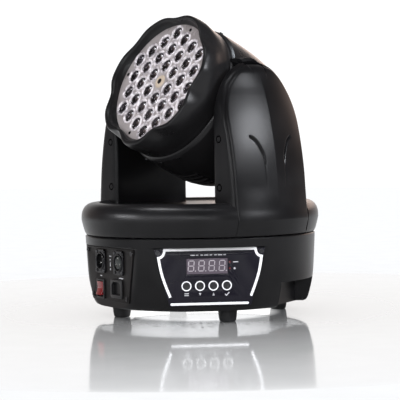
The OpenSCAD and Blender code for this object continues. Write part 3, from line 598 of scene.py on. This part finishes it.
def make_connector_plate():
    holes = [circle(XLR_HOLE_R, x, XLR_Z) for x in (XLR_IN, XLR_OUT)]
    holes += [rounded_box(27.3, 20.3, 0.8, *INLET), rounded_box(19.3, 22.3, 0.8, *SWITCH)]
    holes += [circle(1.6, s * x, y, 24) for x, y in ((60.5, 87), (46, 30)) for s in (-1, 1)]
    outline = trapezium(64.5, 49.5, 24, 92, 2.5)
    sheet = plate("connector_sheet", [outline] + holes, 0, PLATE, CONNECTOR, POWDER, 0.3)
    keep(sheet, "base", "connector_plate_paint", "connector_plate")
    loops = [rounded_box(5.5, 1.2, 0.4, 2, 81), arrow(2, 76.6, 1.7, 0), rounded_box(1.6, 5.5, 0.4, 2, 71),
             circle(1.3, 2, 64.5, 16), rounded_box(11, 1.4, 0.5, 31, 54.6), rounded_box(5, 1.2, 0.4, -24, 55)]
    printed("connector_symbols", [[loop] for loop in loops], PLATE - PRINT_SINK, PLATE + 0.1, CONNECTOR,
            PRINT_DIM, "connector_plate_paint", 0.04)


def make_xlr():
    barrel = arcs([(9.3, -13, 0), (9.3, 2.6, 0.5), (10.4, 3.2, 0.5), (11.8, 2.6, 0.7), (11.8, -16, 0),
                   (0, -16, 0), (0, -13, 0)])
    for x, name in ((XLR_IN, "dmx_input"), (XLR_OUT, "dmx_output")):
        here = moved(SOCKET_FACE, x, XLR_Z)
        holes = [circle(10.6)] + [circle(1.6, ex - x, ey - XLR_Z, 20) for ex, ey in xlr_ears(x)]
        flange = plate("flange", [rounded_box(26, 31, 4)] + holes, 0.02, 1.9, here, BLACK_NICKEL, 0.45)
        ring = lathe("ring", barrel, here, BLACK_NICKEL, 72)
        keep(joined(f"{name}_shell", [flange, ring]), "base", "connector_nickel", name)
        places = [moved(SOCKET_FACE, ex, ey, 1.8) for ex, ey in xlr_ears(x)]
        screws = lathes(f"{name}_screws", [(0, 1.2), (1.6, 1.1), (2.3, 0.6), (2.4, 0)], places, SCREW, 24)
        keep(screws, "base", "screw_steel")
    here = moved(SOCKET_FACE, XLR_IN, XLR_Z)
    spots = on_pin_circle(pi / 2 + k * TAU / 3 for k in range(3))
    profile = arcs([(0, -0.6, 0), (1.2, -0.8, 0.8), (1.25, -2.5, 0), (1.25, -13.2, 0)])
    pins = lathes("dmx_input_contacts", profile, [moved(here, x, y) for x, y in spots], PIN, 24)
    keep(pins, "base", "contact_silver", "contact_pins")
    here = moved(SOCKET_FACE, XLR_OUT, XLR_Z)
    spots = on_pin_circle(XLR_OUT_TURNS)
    holes = [circle(1.5, x, y, 20) for x, y in spots]
    insert = plate("dmx_output_insert", [circle(8)] + holes, -12.9, 2.2, here, INSERT, 0.5)
    keep(insert, "base", "socket_plastic", "dmx_output_insert")
    profile = [(1.05, -8), (1.05, 1.8), (1.45, 1.9), (1.45, -8)]
    sleeves = lathes("dmx_output_contacts", profile, [moved(here, x, y) for x, y in spots], PIN, 20, True)
    keep(sleeves, "base", "contact_silver")


def coupler_outline(w, h, c, y):
    """The mouth of a mains inlet: a rectangle with its top corners cut off."""
    low, high = y - h / 2, y + h / 2
    return [(-w / 2, low), (w / 2, low), (w / 2, high - c), (w / 2 - c, high), (c - w / 2, high),
            (-w / 2, high - c)]


def make_inlet_and_switch():
    here = moved(SOCKET_FACE, *INLET)
    mouth, body = coupler_outline(24, 16, 4, 0.4), rounded_box(27, 20, 0.8)
    bezel = plate("bezel", [rounded_box(31, 23.4, 3.4), mouth], 0.02, 2.6, here, NYLON, 0.6)
    well = plate("well", [body, mouth], -16, 0.4, here, NYLON, 0.1)
    back = plate("back", [body], -24, -15.8, here, NYLON, 0.2)
    keep(joined("inlet_body", [bezel, well, back]), "base", "socket_plastic", "power_inlet")
    blades = [block("blade", 2, 4, -16.5, -3.6, here, PIN, x, y, 0.3, 0.3)
              for x, y in ((-7, 0), (0, 3.4), (7, 0))]
    keep(joined("inlet_contacts", blades), "base", "contact_silver", "contact_pins")

    here = moved(SOCKET_FACE, *SWITCH)
    hole, body = rounded_box(16.4, 20, 0.6), rounded_box(19, 22, 0.8)
    rim = plate("rim", [rounded_box(21, 25, 1.4), hole], 0.02, 2.2, here, NYLON, 0.5)
    tray = plate("tray", [body, hole], -11, 0.4, here, NYLON, 0.1)
    floor = plate("floor", [body], -16, -10.8, here, NYLON, 0.2)
    keep(joined("switch_bezel", [rim, tray, floor]), "base", "socket_plastic", "switch_frame")

    # The rocker's side outline is drawn with x inwards and y up, then laid across the opening.
    lean = radians(-7)
    pivot = Vector(joints["power_rock"]["pos_m"]) / MM
    across = Vector(joints["power_rock"]["axis"])
    side = [(4, -7.6), (-5.6, -8.6)]
    side += [(-3.7 - 1.9 * abs(k / 6 - 1) ** 1.4, -8.6 + 17.2 * k / 12) for k in range(1, 12)]
    side += [(-5.6, 8.6), (4, 7.6)]
    c, s = cos(lean), sin(lean)
    turned = [(x * c - y * s, x * s + y * c) for x, y in side]
    inward = -(CONNECTOR.to_3x3() @ Vector((0, 0, 1)))
    up = Vector((0, 0, 1))
    lay = Matrix((inward, up, across)).transposed().to_4x4()
    rocker = plate("rocker_cap", [turned], -7.9, 7.9, Matrix.Translation(pivot) @ lay, ROCKER, 0.7, 40)
    keep(rocker, "rocker", "rocker_red", "power_rocker")


# ---- turntable

RIM_R, RIM_Z, RIM_TOP_R, RIM_TOP_Z, RIM_LOW, DISH_Z = 154.95, 126, 135, 147.8, 107.2, 143.5
ARM_X, ARM_HALF, ARM_ARCH, ARCH_RISE, ARCH_LEAN = 101.5, 59, 249.2, 71.2, radians(12)


def rim_profile():
    low = [(RIM_R - 5 * (0.75 * part + 0.25 * part ** 2), RIM_Z - (RIM_Z - RIM_LOW) * part)
           for part in (1, 0.85, 0.7, 0.55, 0.4, 0.25, 0.12, 0.04)]
    high = []
    for k in range(17):
        a = pi / 2 * k / 16
        high.append((RIM_TOP_R + (RIM_R - RIM_TOP_R) * cos(a) ** 0.8,
                     RIM_Z + (RIM_TOP_Z - RIM_Z) * sin(a) ** 0.8))
    dish = spline([(RIM_TOP_R, RIM_TOP_Z), (131, 147.3), (126, 145.4), (120, 143.8), (112, DISH_Z),
                   (60, DISH_Z)], 3)[1:]
    inside = [(0, DISH_Z), (0, 140.5), (120, 140.5), (147, 132), (148, 118), (146.5, RIM_LOW + 0.6)]
    return [(RIM_R - 5.6, RIM_LOW)] + low[1:] + high + dish + inside


def make_turntable():
    ring = lathe("turntable_moulded", rim_profile(), YOKE, SHELL, 288, True)
    slack = ARM_HALF + 0.45
    cutters = [box_cutter(*sorted((s * (ARM_X - 0.5), s * 200)), -slack, slack, 90, 170, YOKE)
               for s in (-1, 1)]
    cut(ring, *cutters)
    keep(ring, "yoke", "shell_plastic", "turntable_cover")


# ---- arms

ARM_TOP = 321.2
ARM_CURVE = spline([(RIM_LOW, 150), (112, 151.1), (117, 152.5), (122, 154), (124.8, 154.85), (127, 154.95),
                    (132, 154.4), (142, 152.8)]
                   + [(z, 152 - (z - 140) ** 2 / 901) for z in range(160, 305, 24)]
                   + [(309, 120.3), (313.5, 117.6), (317, 113), (319.6, 106), (ARM_TOP, 98)])
KEEL = 1.5
GROOVE = spline([(33.5, 228.6), (29.5, 226.2), (25, 221.4), (20.4, 213), (17.4, 205), (16.2, 195),
                 (15.8, 162)], 6)
GROOVE_LENGTH = sum(dist(a, b) for a, b in zip(GROOVE, GROOVE[1:]))
# Widths of the outer cover's skirt, the parting groove, the outer cover's edge and the inner cover's two.
SKIRT, SPLIT, FILLET, SHOULDER, INNER_FILLET = 3.6, 1.3, 2.4, 2.6, 3.2
OUTER_WALL, INNER_WALL = 2.6, 2.4
ARM_SCREW_X, ARM_SCREW_Z = 111, (166.5, 226)
ARM_SCREW_RECESS = [(3.05, -1.6), (3.05, 3), (4.8, 3), (4.8, -1.6)]


def groove_depth(v, z):
    """How deep the comma-shaped groove is at a place on the arm's outer face."""
    if z > 231 or z < 158:
        return 0
    best, at, walked = 1e9, 0, 0
    for (x0, y0), (x1, y1) in zip(GROOVE, GROOVE[1:]):
        dx, dy = x1 - x0, y1 - y0
        span = hypot(dx, dy)
        t = min(1, max(0, ((v - x0) * dx + (z - y0) * dy) / span ** 2))
        gap = hypot(v - x0 - t * dx, z - y0 - t * dy)
        if gap < best:
            best, at = gap, walked + t * span
        walked += span
    part = at / GROOVE_LENGTH
    depth = 2.1 * (1 - ease(part, 0.3, 0.62)) + 0.35 * (1 - ease(part, 0.8, 1))
    width = 0.9 + 0.3 * sin(pi * min(1, part * 2.2))
    return depth * exp(-(best / width) ** 2)


def face_x(v, z):
    """The arm's outer face: a dome with a soft keel down its middle and two grooves."""
    r = along(ARM_CURVE, z)
    plain = sqrt(max(r * r - v * v, 1))
    part = min(1, abs(v) / ARM_HALF)
    keel = 4 * KEEL * part * (1 - part) * ease(z, 140, 170) * (1 - ease(z, 286, 312))
    return plain - keel - groove_depth(abs(v), z)


def outline_drop(h):
    """How steeply the outline's lines run down and outwards at a height above the arch's springing."""
    return tan(ARCH_LEAN) * ease(h, -60, 0)


def edge_point(v, h):
    """Where the arm's side wall, at (v, h) of its outline, meets the outer face."""
    low, high = 60, 156
    top = ARM_ARCH + (h / cos(ARCH_LEAN) if h > 0 else h)
    for _ in range(40):
        x = (low + high) / 2
        z = top - (x - ARM_X) * outline_drop(h)
        if z < ARM_TOP and x < face_x(v, z):
            low = x
        else:
            high = x
    return low, v, top - (low - ARM_X) * outline_drop(h)


def arm_outline(low, step):
    """Points round the arm's side view: up one side, over the round top and down the other."""
    count = int((ARM_ARCH - low) / step)
    side = [(ARM_HALF, low - ARM_ARCH + (ARM_ARCH - low) * k / count) for k in range(count)]
    turns = int(pi * ARCH_RISE / step)
    arch = [(ARM_HALF * cos(pi * k / turns), ARCH_RISE * sin(pi * k / turns))
            for k in range(turns + 1)]
    return side + arch + [(-v, h) for v, h in reversed(side)]


def outer_cover_rows(low=RIM_LOW + 0.2, step=1.25, across=60):
    rows = []
    for v, h in arm_outline(low, step):
        ex, ev, ez = edge_point(v, h)
        drop = outline_drop(h)

        def wall(back):
            return Vector((ex - back, ev, ez + back * drop))

        def face(inward):
            fv = ev * (1 - inward)
            fz = ARM_ARCH + (ez - ARM_ARCH) * (1 - inward) if h > 0 else ez
            return Vector((face_x(fv, fz), fv, fz))

        row = [wall(SKIRT), wall(SKIRT - 0.4), wall(FILLET)]
        edge = FILLET / hypot(v, max(h, 0))
        corner, start, end = wall(0), wall(FILLET), face(edge)
        for k in range(1, 8):
            t = k / 8
            row.append(start * (1 - t) ** 2 + corner * 2 * t * (1 - t) + end * t ** 2)
        for k in range(across + 1):
            row.append(face(edge + (1 - edge) * k / across))
        rows.append(row)
    return rows


def inner_cover_rows(low=136, step=2):
    rows = []
    for v, h in arm_outline(low, step):
        ex, ev, ez = edge_point(v, h)
        drop = outline_drop(h)
        reach = hypot(v, max(h, 0))

        def wall(x, inset=0):
            part = 1 - inset / reach
            z = ez + (ex - x) * drop
            return Vector((x, ev * part, ARM_ARCH + (z - ARM_ARCH) * part if h > 0 else z))

        parting = ex - SKIRT - SPLIT
        fillet = INNER_FILLET
        row = [wall(parting, 5)]
        for k in range(7):
            t = k / 6 * pi / 2
            row.append(wall(parting - SHOULDER * (1 - cos(t)), SHOULDER * (1 - sin(t))))
        inner_end, outer_end = ARM_X + fillet, parting - SHOULDER
        row += [wall(outer_end + (inner_end - outer_end) * k / 4) for k in range(1, 4)]
        row.append(wall(ARM_X + fillet))
        for k in range(1, 7):
            t = k / 6 * pi / 2
            row.append(wall(ARM_X + fillet * (1 - sin(t)), fillet * (1 - cos(t))))
        row += [wall(ARM_X, fillet + (ARM_HALF - fillet) * k / 6) for k in range(1, 7)]
        rows.append(row)
    return rows


def shell_from_rows(name, rows, place, thickness, mirrored):
    points = [(p.x, p.y, p.z) for row in rows for p in row]
    faces = grid_faces(len(rows), len(rows[0]), False, False)
    obj = mesh(name, points, faces, place @ (MIRROR_X if mirrored else Matrix.Identity(4)), SHELL, 40)
    solid = obj.modifiers.new("wall", "SOLIDIFY")
    solid.thickness = thickness * MM
    solid.offset = -1
    solid.use_even_offset = False
    applied(obj)
    face_outwards(obj.data)
    smooth(obj, 40)
    return obj


def make_arms():
    outer, inner = outer_cover_rows(), inner_cover_rows()
    for side, name in ((1, "right"), (-1, "left")):
        cover = shell_from_rows(f"outer_cover_{name}", outer, YOKE, OUTER_WALL, side < 0)
        keep(cover, "yoke", "shell_plastic", f"arm_outer_{name}")
        cover = shell_from_rows(f"inner_cover_{name}", inner, YOKE, INNER_WALL, side < 0)
        axle = moved(YOKE, side * 90, 0, tilt_height) @ Matrix.Rotation(side * pi / 2, 4, "Y")
        hollows = [lathe("cutter", [(0, 0), (17, 0), (17, 30), (0, 30)], axle, SHELL, 64)]
        for z in ARM_SCREW_Z:
            for s in (-1, 1):
                screw = moved(YOKE, side * ARM_SCREW_X, s * ARM_HALF, z)
                screw = screw @ Matrix.Rotation(-s * pi / 2, 4, "X")
                hollows.append(lathe("cutter", ARM_SCREW_RECESS, screw, SHELL, 32, True))
        cut(cover, joined("cutter", hollows), sharp=40)
        keep(cover, "yoke", "shell_plastic", f"arm_inner_{name}")


# ---- head

RIM_PLANE, WAIST, LENS_PLANE = 81, 36, 69.4
LIP_R, SEAT_R = 91.2, 81.3
SCALLOP_FROM, SCALLOP_TO = 47, 80
HOLLOWS = 7
SLOTS = [-18 - 9 * k for k in range(4)]
SLOT_HALF_ANGLE = asin(30.5 / 93)
BACK, AXLE_HOLE_R = -96, 11
PITCH = 23.3
LENS_PLATE_R, LENS_HOLE_R = 81.9, 9.9
LENS_SCREW_R, LENS_SCREWS = 76.4, (70, 169, 250, 349)


def hollow(turn, narrow):
    """0 on the rim's lobes and about 1 in the hollows, which are deeper at the bottom than at the top."""
    return (1 - 0.4 * sin(turn)) * abs(cos(HOLLOWS * (turn - pi / 2) / 2)) ** narrow


def rim_radius(turn):
    """The outside of the front rim: wide round lobes with hollows between them."""
    top = max(0, sin(turn)) ** 2
    return 93.8 - 2.2 * top - 8.1 * hollow(turn, 4)


def mouth_radius(turn):
    """The rim's inner edge, in front of the lens plate."""
    return 86.5 - 5.8 * hollow(turn, 3)


def make_front_shell():
    """Rows of "round" points have a radius, and "rim" and "inside" ones a part of the way to the next edge."""
    body = spline([(91.4, WAIST + 1), (91.4, 42), (92.4, 52), (93.3, 60), (93.4, 66), (92.4, 74),
                   (LIP_R, 79.2)], 5)
    outer = [(89.6, WAIST), (90.9, WAIST), (91.3, WAIST + 0.4)] + body
    lip = [(0.08, 80.2), (0.25, 80.8), (0.45, RIM_PLANE), (0.62, 80.6), (0.7, 79.6), (0.9, 79), (1, 78)]
    profile = [("round", r, z) for r, z in outer] + [("rim", r, z) for r, z in lip]
    profile += [("inside", 0, 74.5), ("inside", 0.5, 71.2), ("inside", 1, 68.6)]
    profile += [("round", SEAT_R, 67.6), ("round", 84, 65), ("round", 88.6, 62), ("round", 88.6, 24),
                ("round", 90.4, 24), ("round", 90.4, WAIST - 0.6)]
    steps = 420
    points = []
    for kind, r, z in profile:
        for k in range(steps):
            turn = TAU * k / steps
            rim, mouth = rim_radius(turn), mouth_radius(turn)
            if kind == "rim":
                radius = rim + (mouth - rim) * r
            elif kind == "inside":
                radius = mouth * (1 - r) + SEAT_R * r
            else:
                scalloped = z >= SCALLOP_FROM and r > 89
                radius = r - (LIP_R - rim) * ease(z, SCALLOP_FROM, SCALLOP_TO) ** 1.3 if scalloped else r
            points.append(polar(radius, turn, z))
    shell = mesh("front_shell_moulded", points, grid_faces(len(profile), steps, True), HEAD, SHELL_HEAD_PAINTED_FILL, 40)
    keep(shell, "head", "shell_plastic", "front_shell")


def make_rear_shell():
    wall = spline([(44, BACK), (58, -93), (73, -84), (84.5, -71), (91, -55), (94.2, -34), (95.2, -8),
                   (94.9, 16), (94.4, WAIST - 8)], 5)
    chamfer = [(94.2, WAIST - 7.2), (93.9, WAIST - 6.6), (92.4, WAIST - 3.6), (92, WAIST - 3.1),
               (90.1, WAIST - 1.8), (89.8, WAIST - 0.6)]
    outside = [(40.2, -95.4), (41, BACK)] + wall + chamfer
    inside = [(89.2, 33), (89.4, 30), (91.6, 24), (92, 16), (92.6, -8), (91.6, -34), (88.4, -54),
              (82, -69.4), (71, -81.6), (57, -90.4), (44, -93.2), (40.2, -93.2)]
    shell = lathe("rear_shell_moulded", outside + inside, HEAD, SHELL_HEAD_PAINTED_FILL, 288, True)
    cutters = []
    bore = [(0, 0), (AXLE_HOLE_R, 0), (AXLE_HOLE_R, 60), (0, 60)]
    for side in (-1, 1):
        across = moved(HEAD @ Matrix.Rotation(side * pi / 2, 4, "Y"), 0, 0, 60)
        cutters.append(lathe("cutter", bore, across, SHELL, 48))
        for z in SLOTS:
            cutters.append(box_cutter(-28, 28, *sorted((side * 80, side * 110)), z - 1.8, z + 1.8, HEAD))
    cut(shell, *cutters)
    keep(shell, "head", "shell_plastic", "rear_shell")

    louvres = [louvre(z + 2.1, side) for side in (-1, 1) for z in SLOTS]
    keep(joined("head_louvres", louvres), "head", "shell_plastic")

    bars = [ring_bar(r, 1.1, -94.9) for r in (11, 17, 23, 29, 35, 40.2)]
    hub = arcs([(0, -93.6, 0), (7.4, -93.6, 0.3), (7.4, BACK, 0.8), (0, BACK, 0)])
    bars.append(lathe("hub", hub, HEAD, SHELL_HEAD_PAINTED_FILL, 48))
    for k in range(6):
        spoke = HEAD @ turned_about_z(TAU * k / 6 + 0.3)
        bars.append(plate("spoke", [rounded_box(34, 1.8, 0.5, 24, 0)], -95.4, -93.4, spoke, SHELL_HEAD_PAINTED_FILL, 0.3))
    keep(joined("fan_grille", bars), "head", "shell_plastic")


def rear_radius(z):
    """The rear shell's outer radius, near enough to seat the louvres."""
    return along([(-84, 73), (-71, 84.5), (-55, 91), (-34, 94.2), (-8, 95.2), (16, 94.6), (33, 93.6)], z)


def louvre(z, side):
    """A raised lip along the front edge of a slot in the rear shell."""
    section = [(-1, -1), (-1, 0.3), (-0.4, 0.95), (0.5, 1.1), (1.5, 0.4), (2.2, -1)]
    count = 40
    points = []
    for k in range(count + 1):
        t = -1 + 2 * k / count
        turn = side * pi / 2 + SLOT_HALF_ANGLE * t
        low = 1 - ease(abs(t), 0.86, 1)
        for dz, dr in section:
            radius = rear_radius(z) + (dr + 1) * (0.25 + 0.75 * low) - 1
            points.append(polar(radius, turn, z + dz))
    size = len(section)
    ends = [tuple(range(size)), tuple(range(count * size, (count + 1) * size))]
    return mesh("louvre", points, grid_faces(count + 1, size) + ends, HEAD, SHELL_HEAD_PAINTED_FILL, 40)


def ring_bar(r, thick, z):
    """A ring with a round section."""
    profile = [(r + thick * cos(TAU * k / 10), z + thick * sin(TAU * k / 10)) for k in range(10)]
    return lathe("ring", profile, HEAD, SHELL_HEAD_PAINTED_FILL, 96, True)


def lens_spots():
    """The middles of 36 lenses in a hexagon, with the middle one left out."""
    spots = []
    for row in range(-3, 4):
        for k in range(7 - abs(row)):
            if row or k != 3:
                spots.append((row * PITCH * sqrt(3) / 2, (k - (6 - abs(row)) / 2) * PITCH))
    return spots


def make_lenses():
    plane = moved(HEAD, 0, 0, LENS_PLANE)
    spots = lens_spots()
    holes = [circle(LENS_HOLE_R, x, y, 36) for x, y in spots] + [circle(2, 0, 0, 20)]
    sheet = plate("lens_plate_silvered", [circle(LENS_PLATE_R, 0, 0, 144)] + holes, LENS_PLANE - 2.4, LENS_PLANE,
                  HEAD, SILVER_PLATE, 0.25)
    keep(sheet, "head", "lens_plate_silver", "lens_plate")
    places = [moved(plane, x, y) for x, y in spots]
    rim = arcs([(7.9, -1.8, 0), (8.1, -0.4, 0.4), (9.6, 1.2, 0.9), (10.8, 0.9, 0.7), (11.5, 0, 0),
                (9.9, -0.6, 0), (8.6, -2.1, 0)])
    cup = [(8.5, -1.4), (7.6, -2.8), (6.2, -5), (4.9, -6.8), (3.6, -7.6), (2.4, -7.7)]
    dome = [(0, 1.5), (1.8, 1.43), (3.6, 1.15), (5.4, 0.6), (7, -0.1), (8.2, -0.9), (8.2, -1.4),
            (4, -1.7), (0, -1.8)]
    chip = [(0, -5.9), (1.2, -6.1), (2, -6.8), (2.2, -7.7), (0, -7.7)]
    # The rims carry painted glints and the cups carry painted shade.
    keep(lathes("lens_rims", rim, places, LENS_RIM_PAINTED_GLINTS, 40, True), "head", "lens_clear", "lenses")
    keep(lathes("lens_cups", cup, places, LENS_CUP_PAINTED_DARK, 36), "head", "lens_clear")
    keep(lathes("lens_domes", dome, places, LENS, 36), "head", "lens_clear")
    keep(lathes("led_chips", chip, places, CHIP, 24), "head", "emitter", "led_emitters")
    boss = arcs([(3.7, 0.05, 0), (3.7, 1.2, 0.4), (5.2, 1.7, 0.8), (7.8, 1, 0.8), (9, 0.02, 0)])
    keep(lathe("centre_boss", boss, plane, BOSS, 40), "head", "lens_plate_silver")
    places = [moved(HEAD @ turned_about_z(radians(turn)), LENS_SCREW_R, 0, LENS_PLANE) for turn in LENS_SCREWS]
    screw = [(0, 0.15), (0.8, 0.1), (1, 0.7), (2, 0.55), (2.4, 0)]
    keep(lathes("lens_plate_screws", screw, places, BLACK_NICKEL, 24), "head", "screw_steel")


# ---- finishes of the CAD pieces that stay

CAD_FINISHES = (
    (ZINC, """base_plate turntable_plate upright_left upright_right tilt_motor_bracket head_chassis power_supply
     heat_sink pan_spindle pan_pulley spindle_nut pan_pinion tilt_pinion tilt_pulley tilt_axle_left
     tilt_axle_right pan_bearing tilt_bearing_left tilt_bearing_right"""),
    (SCREW, "foot_screws panel_screws arm_screws head_screws"), (BOARD, "control_board main_board"),
    (NYLON, "tact_switches"), (BELT, "pan_belt tilt_belt"), (MOTOR, "pan_motor tilt_motor"),
    (WHITE_BOARD, "led_board"), (FAN, "fan_frame fan_rotor"))


def paint_cad_pieces():
    for material, names in CAD_FINISHES:
        for name in names.split():
            slots = frame["nodes"][name].data.materials
            if not slots:
                slots.append(material)
            for k in range(len(slots)):
                slots[k] = material


# ---- studio

CAMERA_AZIMUTH = radians(27.4)
CAMERA_DISTANCE, CAMERA_HEIGHT, CAMERA_ASIDE = 1.8471, 0.2084, 0.0005
CAMERA_PITCH, CAMERA_ROLL, CAMERA_LENS = radians(-1.872), -0.0166, 126.74


def make_camera():
    data = bpy.data.cameras.new("camera")
    data.lens = CAMERA_LENS
    data.sensor_width = 36
    data.clip_end = 50
    camera = new_object("camera", data)
    place = moved(turned_about_z(CAMERA_AZIMUTH), CAMERA_ASIDE, -CAMERA_DISTANCE, CAMERA_HEIGHT)
    place = place @ Matrix.Rotation(pi / 2 + CAMERA_PITCH, 4, "X")
    camera.matrix_world = place @ turned_about_z(CAMERA_ROLL)
    bpy.context.scene.camera = camera


AIM = Vector((0, 0, 0.2))
COOL, NEUTRAL, WARM = (0.93, 0.95, 1), (0.96, 0.97, 1), (1, 0.74, 0.62)
# Each softbox: azimuth and elevation in degrees, distance and size in metres, power, colour and what it lights.
LIGHTS = (
    ("key_softbox", 85, 22, 1.9, (0.6, 0.28), 23, COOL, "lit_pieces"),
    ("front_strip", 2, 10, 1.9, (3, 0.12), 18, NEUTRAL, "lit_pieces"),
    ("top_strip", -5, 68, 1.8, (1.8, 0.14), 8, (0.94, 0.96, 1), "lit_pieces"),
    ("ring_low_softbox", -46, 12, 1.9, (0.6, 0.12), 14, NEUTRAL, "lit_ring"),
    ("ring_high_softbox", -46, 66, 1.8, (0.6, 0.12), 12, NEUTRAL, "lit_ring"),
    ("warm_back", 178, 16, 2.4, (2.6, 0.6), 11, WARM, "lit_pieces"),
    ("shoulder_softbox", 132, 62, 1.8, (0.4, 0.4), 12, (0.86, 0.92, 1), "lit_head_back"),
    ("left_softbox", -72, 14, 1.9, (0.7, 0.5), 1.9, (0.96, 0.96, 1), "lit_flanks"),
    ("head_softbox", 103, 33, 1.8, (0.3, 0.3), 2.5, (0.9, 0.92, 1), "lit_head_front"),
)
# What each group takes in: the pieces whose names start so.
LIT = {"lit_pieces": "", "lit_head_back": "rear_shell_moulded", "lit_ring": "turntable_moulded",
       "lit_head_front": "front_shell_moulded", "lit_flanks": "inner_cover"}
WALL_STOPS = ((0, (0.03, 0.03, 0.04)), (0.55, (0.05, 0.05, 0.06)), (0.85, (0.36, 0.28, 0.25)),
              (0.96, (1, 0.98, 0.97)))
HEIGHT_STOPS = ((0.5, (1, 1, 1)), (0.62, (0.9, 0.9, 0.9)), (0.75, (0.18, 0.18, 0.18)),
                (1, (0.1, 0.1, 0.1)))
BACKDROP, BACKDROP_STRENGTH = (0.985, 0.99, 1, 1), 1.14
# Each of the floor's sockets fades from its value to 0 between two distances from the middle, in metres.
FLOOR_FADES = (("Specular IOR Level", 0.24, 0.62, 1), ("Coat Weight", 0.22, 0.5, 0.8),
               ("Emission Strength", 0.085, 0.105, 1))
FLOOR_HALF = 6000


def group(name, objects):
    """A collection for a light to shine on."""
    collection = bpy.data.collections.new(name)
    for obj in objects:
        collection.objects.link(obj)
    return collection


def area_light(name, azimuth, elevation, distance, size, power, color, lit):
    """A softbox aimed at the object's middle, that shines on one group of pieces and not on the floor."""
    data = bpy.data.lights.new(name, "AREA")
    data.shape = "RECTANGLE"
    data.size, data.size_y = size
    data.energy = power
    data.color = color
    light = new_object(name, data)
    a, e = radians(azimuth), radians(elevation)
    away = Vector((sin(a) * cos(e), -cos(a) * cos(e), sin(e)))
    light.location = AIM + distance * away
    light.rotation_euler = (AIM - light.location).to_track_quat("-Z", "Y").to_euler()
    light.light_linking.receiver_collection = lit


def make_world():
    """White for the camera and for soft light, and a dim room with a warm white wall behind for gloss."""
    world = bpy.data.worlds.new("studio")
    scene.world = world
    world.use_nodes = True
    nodes, links = world.node_tree.nodes, world.node_tree.links
    where = nodes.new("ShaderNodeTexCoord")

    def along_axis(direction, stops):
        """Colours that follow how far a direction points along another."""
        dot = nodes.new("ShaderNodeVectorMath")
        dot.operation = "DOT_PRODUCT"
        dot.inputs[1].default_value = direction
        links.new(where.outputs["Generated"], dot.inputs[0])
        level = nodes.new("ShaderNodeMath")
        level.operation = "MULTIPLY_ADD"
        level.inputs[1].default_value = 0.5
        level.inputs[2].default_value = 0.5
        links.new(dot.outputs["Value"], level.inputs[0])
        bands = nodes.new("ShaderNodeValToRGB")
        for k, (place, color) in enumerate(stops):
            element = bands.color_ramp.elements[k] if k < 2 else bands.color_ramp.elements.new(place)
            element.position = place
            element.color = (*color, 1)
        links.new(level.outputs["Value"], bands.inputs["Fac"])
        return bands.outputs["Color"]

    away = (-sin(CAMERA_AZIMUTH), cos(CAMERA_AZIMUTH), 0)
    wall = along_axis(away, WALL_STOPS)
    height = along_axis((0, 0, 1), HEIGHT_STOPS)
    tint = nodes.new("ShaderNodeMixRGB")
    tint.blend_type = "MULTIPLY"
    put(tint, Fac=1)
    links.new(wall, tint.inputs["Color1"])
    links.new(height, tint.inputs["Color2"])
    room = nodes["Background"]
    links.new(tint.outputs["Color"], room.inputs["Color"])
    white = nodes.new("ShaderNodeBackground")
    put(white, Color=BACKDROP, Strength=BACKDROP_STRENGTH)
    path = nodes.new("ShaderNodeLightPath")
    choose = nodes.new("ShaderNodeMixShader")
    links.new(path.outputs["Is Glossy Ray"], choose.inputs["Fac"])
    links.new(white.outputs["Background"], choose.inputs[1])
    links.new(room.outputs["Background"], choose.inputs[2])
    links.new(choose.outputs["Shader"], nodes["World Output"].inputs["Surface"])


def floor_finish():
    """Pale and glossy round the object, fading to matt further out, and lit from below under the base."""
    material = surface("studio_floor", (0.87, 0.875, 0.88), (0.89, 0.895, 0.9), (0.07, 0.1))
    nodes, links = material.node_tree.nodes, material.node_tree.links
    where = nodes.new("ShaderNodeTexCoord")
    away = nodes.new("ShaderNodeVectorMath")
    away.operation = "LENGTH"
    links.new(where.outputs["Object"], away.inputs[0])
    for socket, start, end, value in FLOOR_FADES:
        fade = nodes.new("ShaderNodeMapRange")
        put(fade, From_Min=start, From_Max=end, To_Min=value, To_Max=0)
        links.new(away.outputs["Value"], fade.inputs["Value"])
        links.new(fade.outputs["Result"], nodes["Principled BSDF"].inputs[socket])
    return material


def make_studio():
    corners = [(x * FLOOR_HALF, y * FLOOR_HALF, 0) for x, y in ((-1, -1), (1, -1), (1, 1), (-1, 1))]
    floor = mesh("studio_floor", corners, [(0, 1, 2, 3)], BASE, floor_finish())
    make_world()
    pieces = [obj for obj in scene.objects if obj.type == "MESH" and obj != floor]
    lit = {name: group(name, [obj for obj in pieces if obj.name.startswith(start)])
           for name, start in LIT.items()}
    lit["lit_flanks"].objects.link(frame["nodes"]["arm_screws"])
    for *settings, name in LIGHTS:
        area_light(*settings, lit[name])
    scene.view_settings.view_transform = "Standard"


make_camera()
make_base()
make_feet()
make_control_panel()
make_connector_plate()
make_xlr()
make_inlet_and_switch()
make_turntable()
make_arms()
make_front_shell()
make_rear_shell()
make_lenses()
paint_cad_pieces()
make_studio()
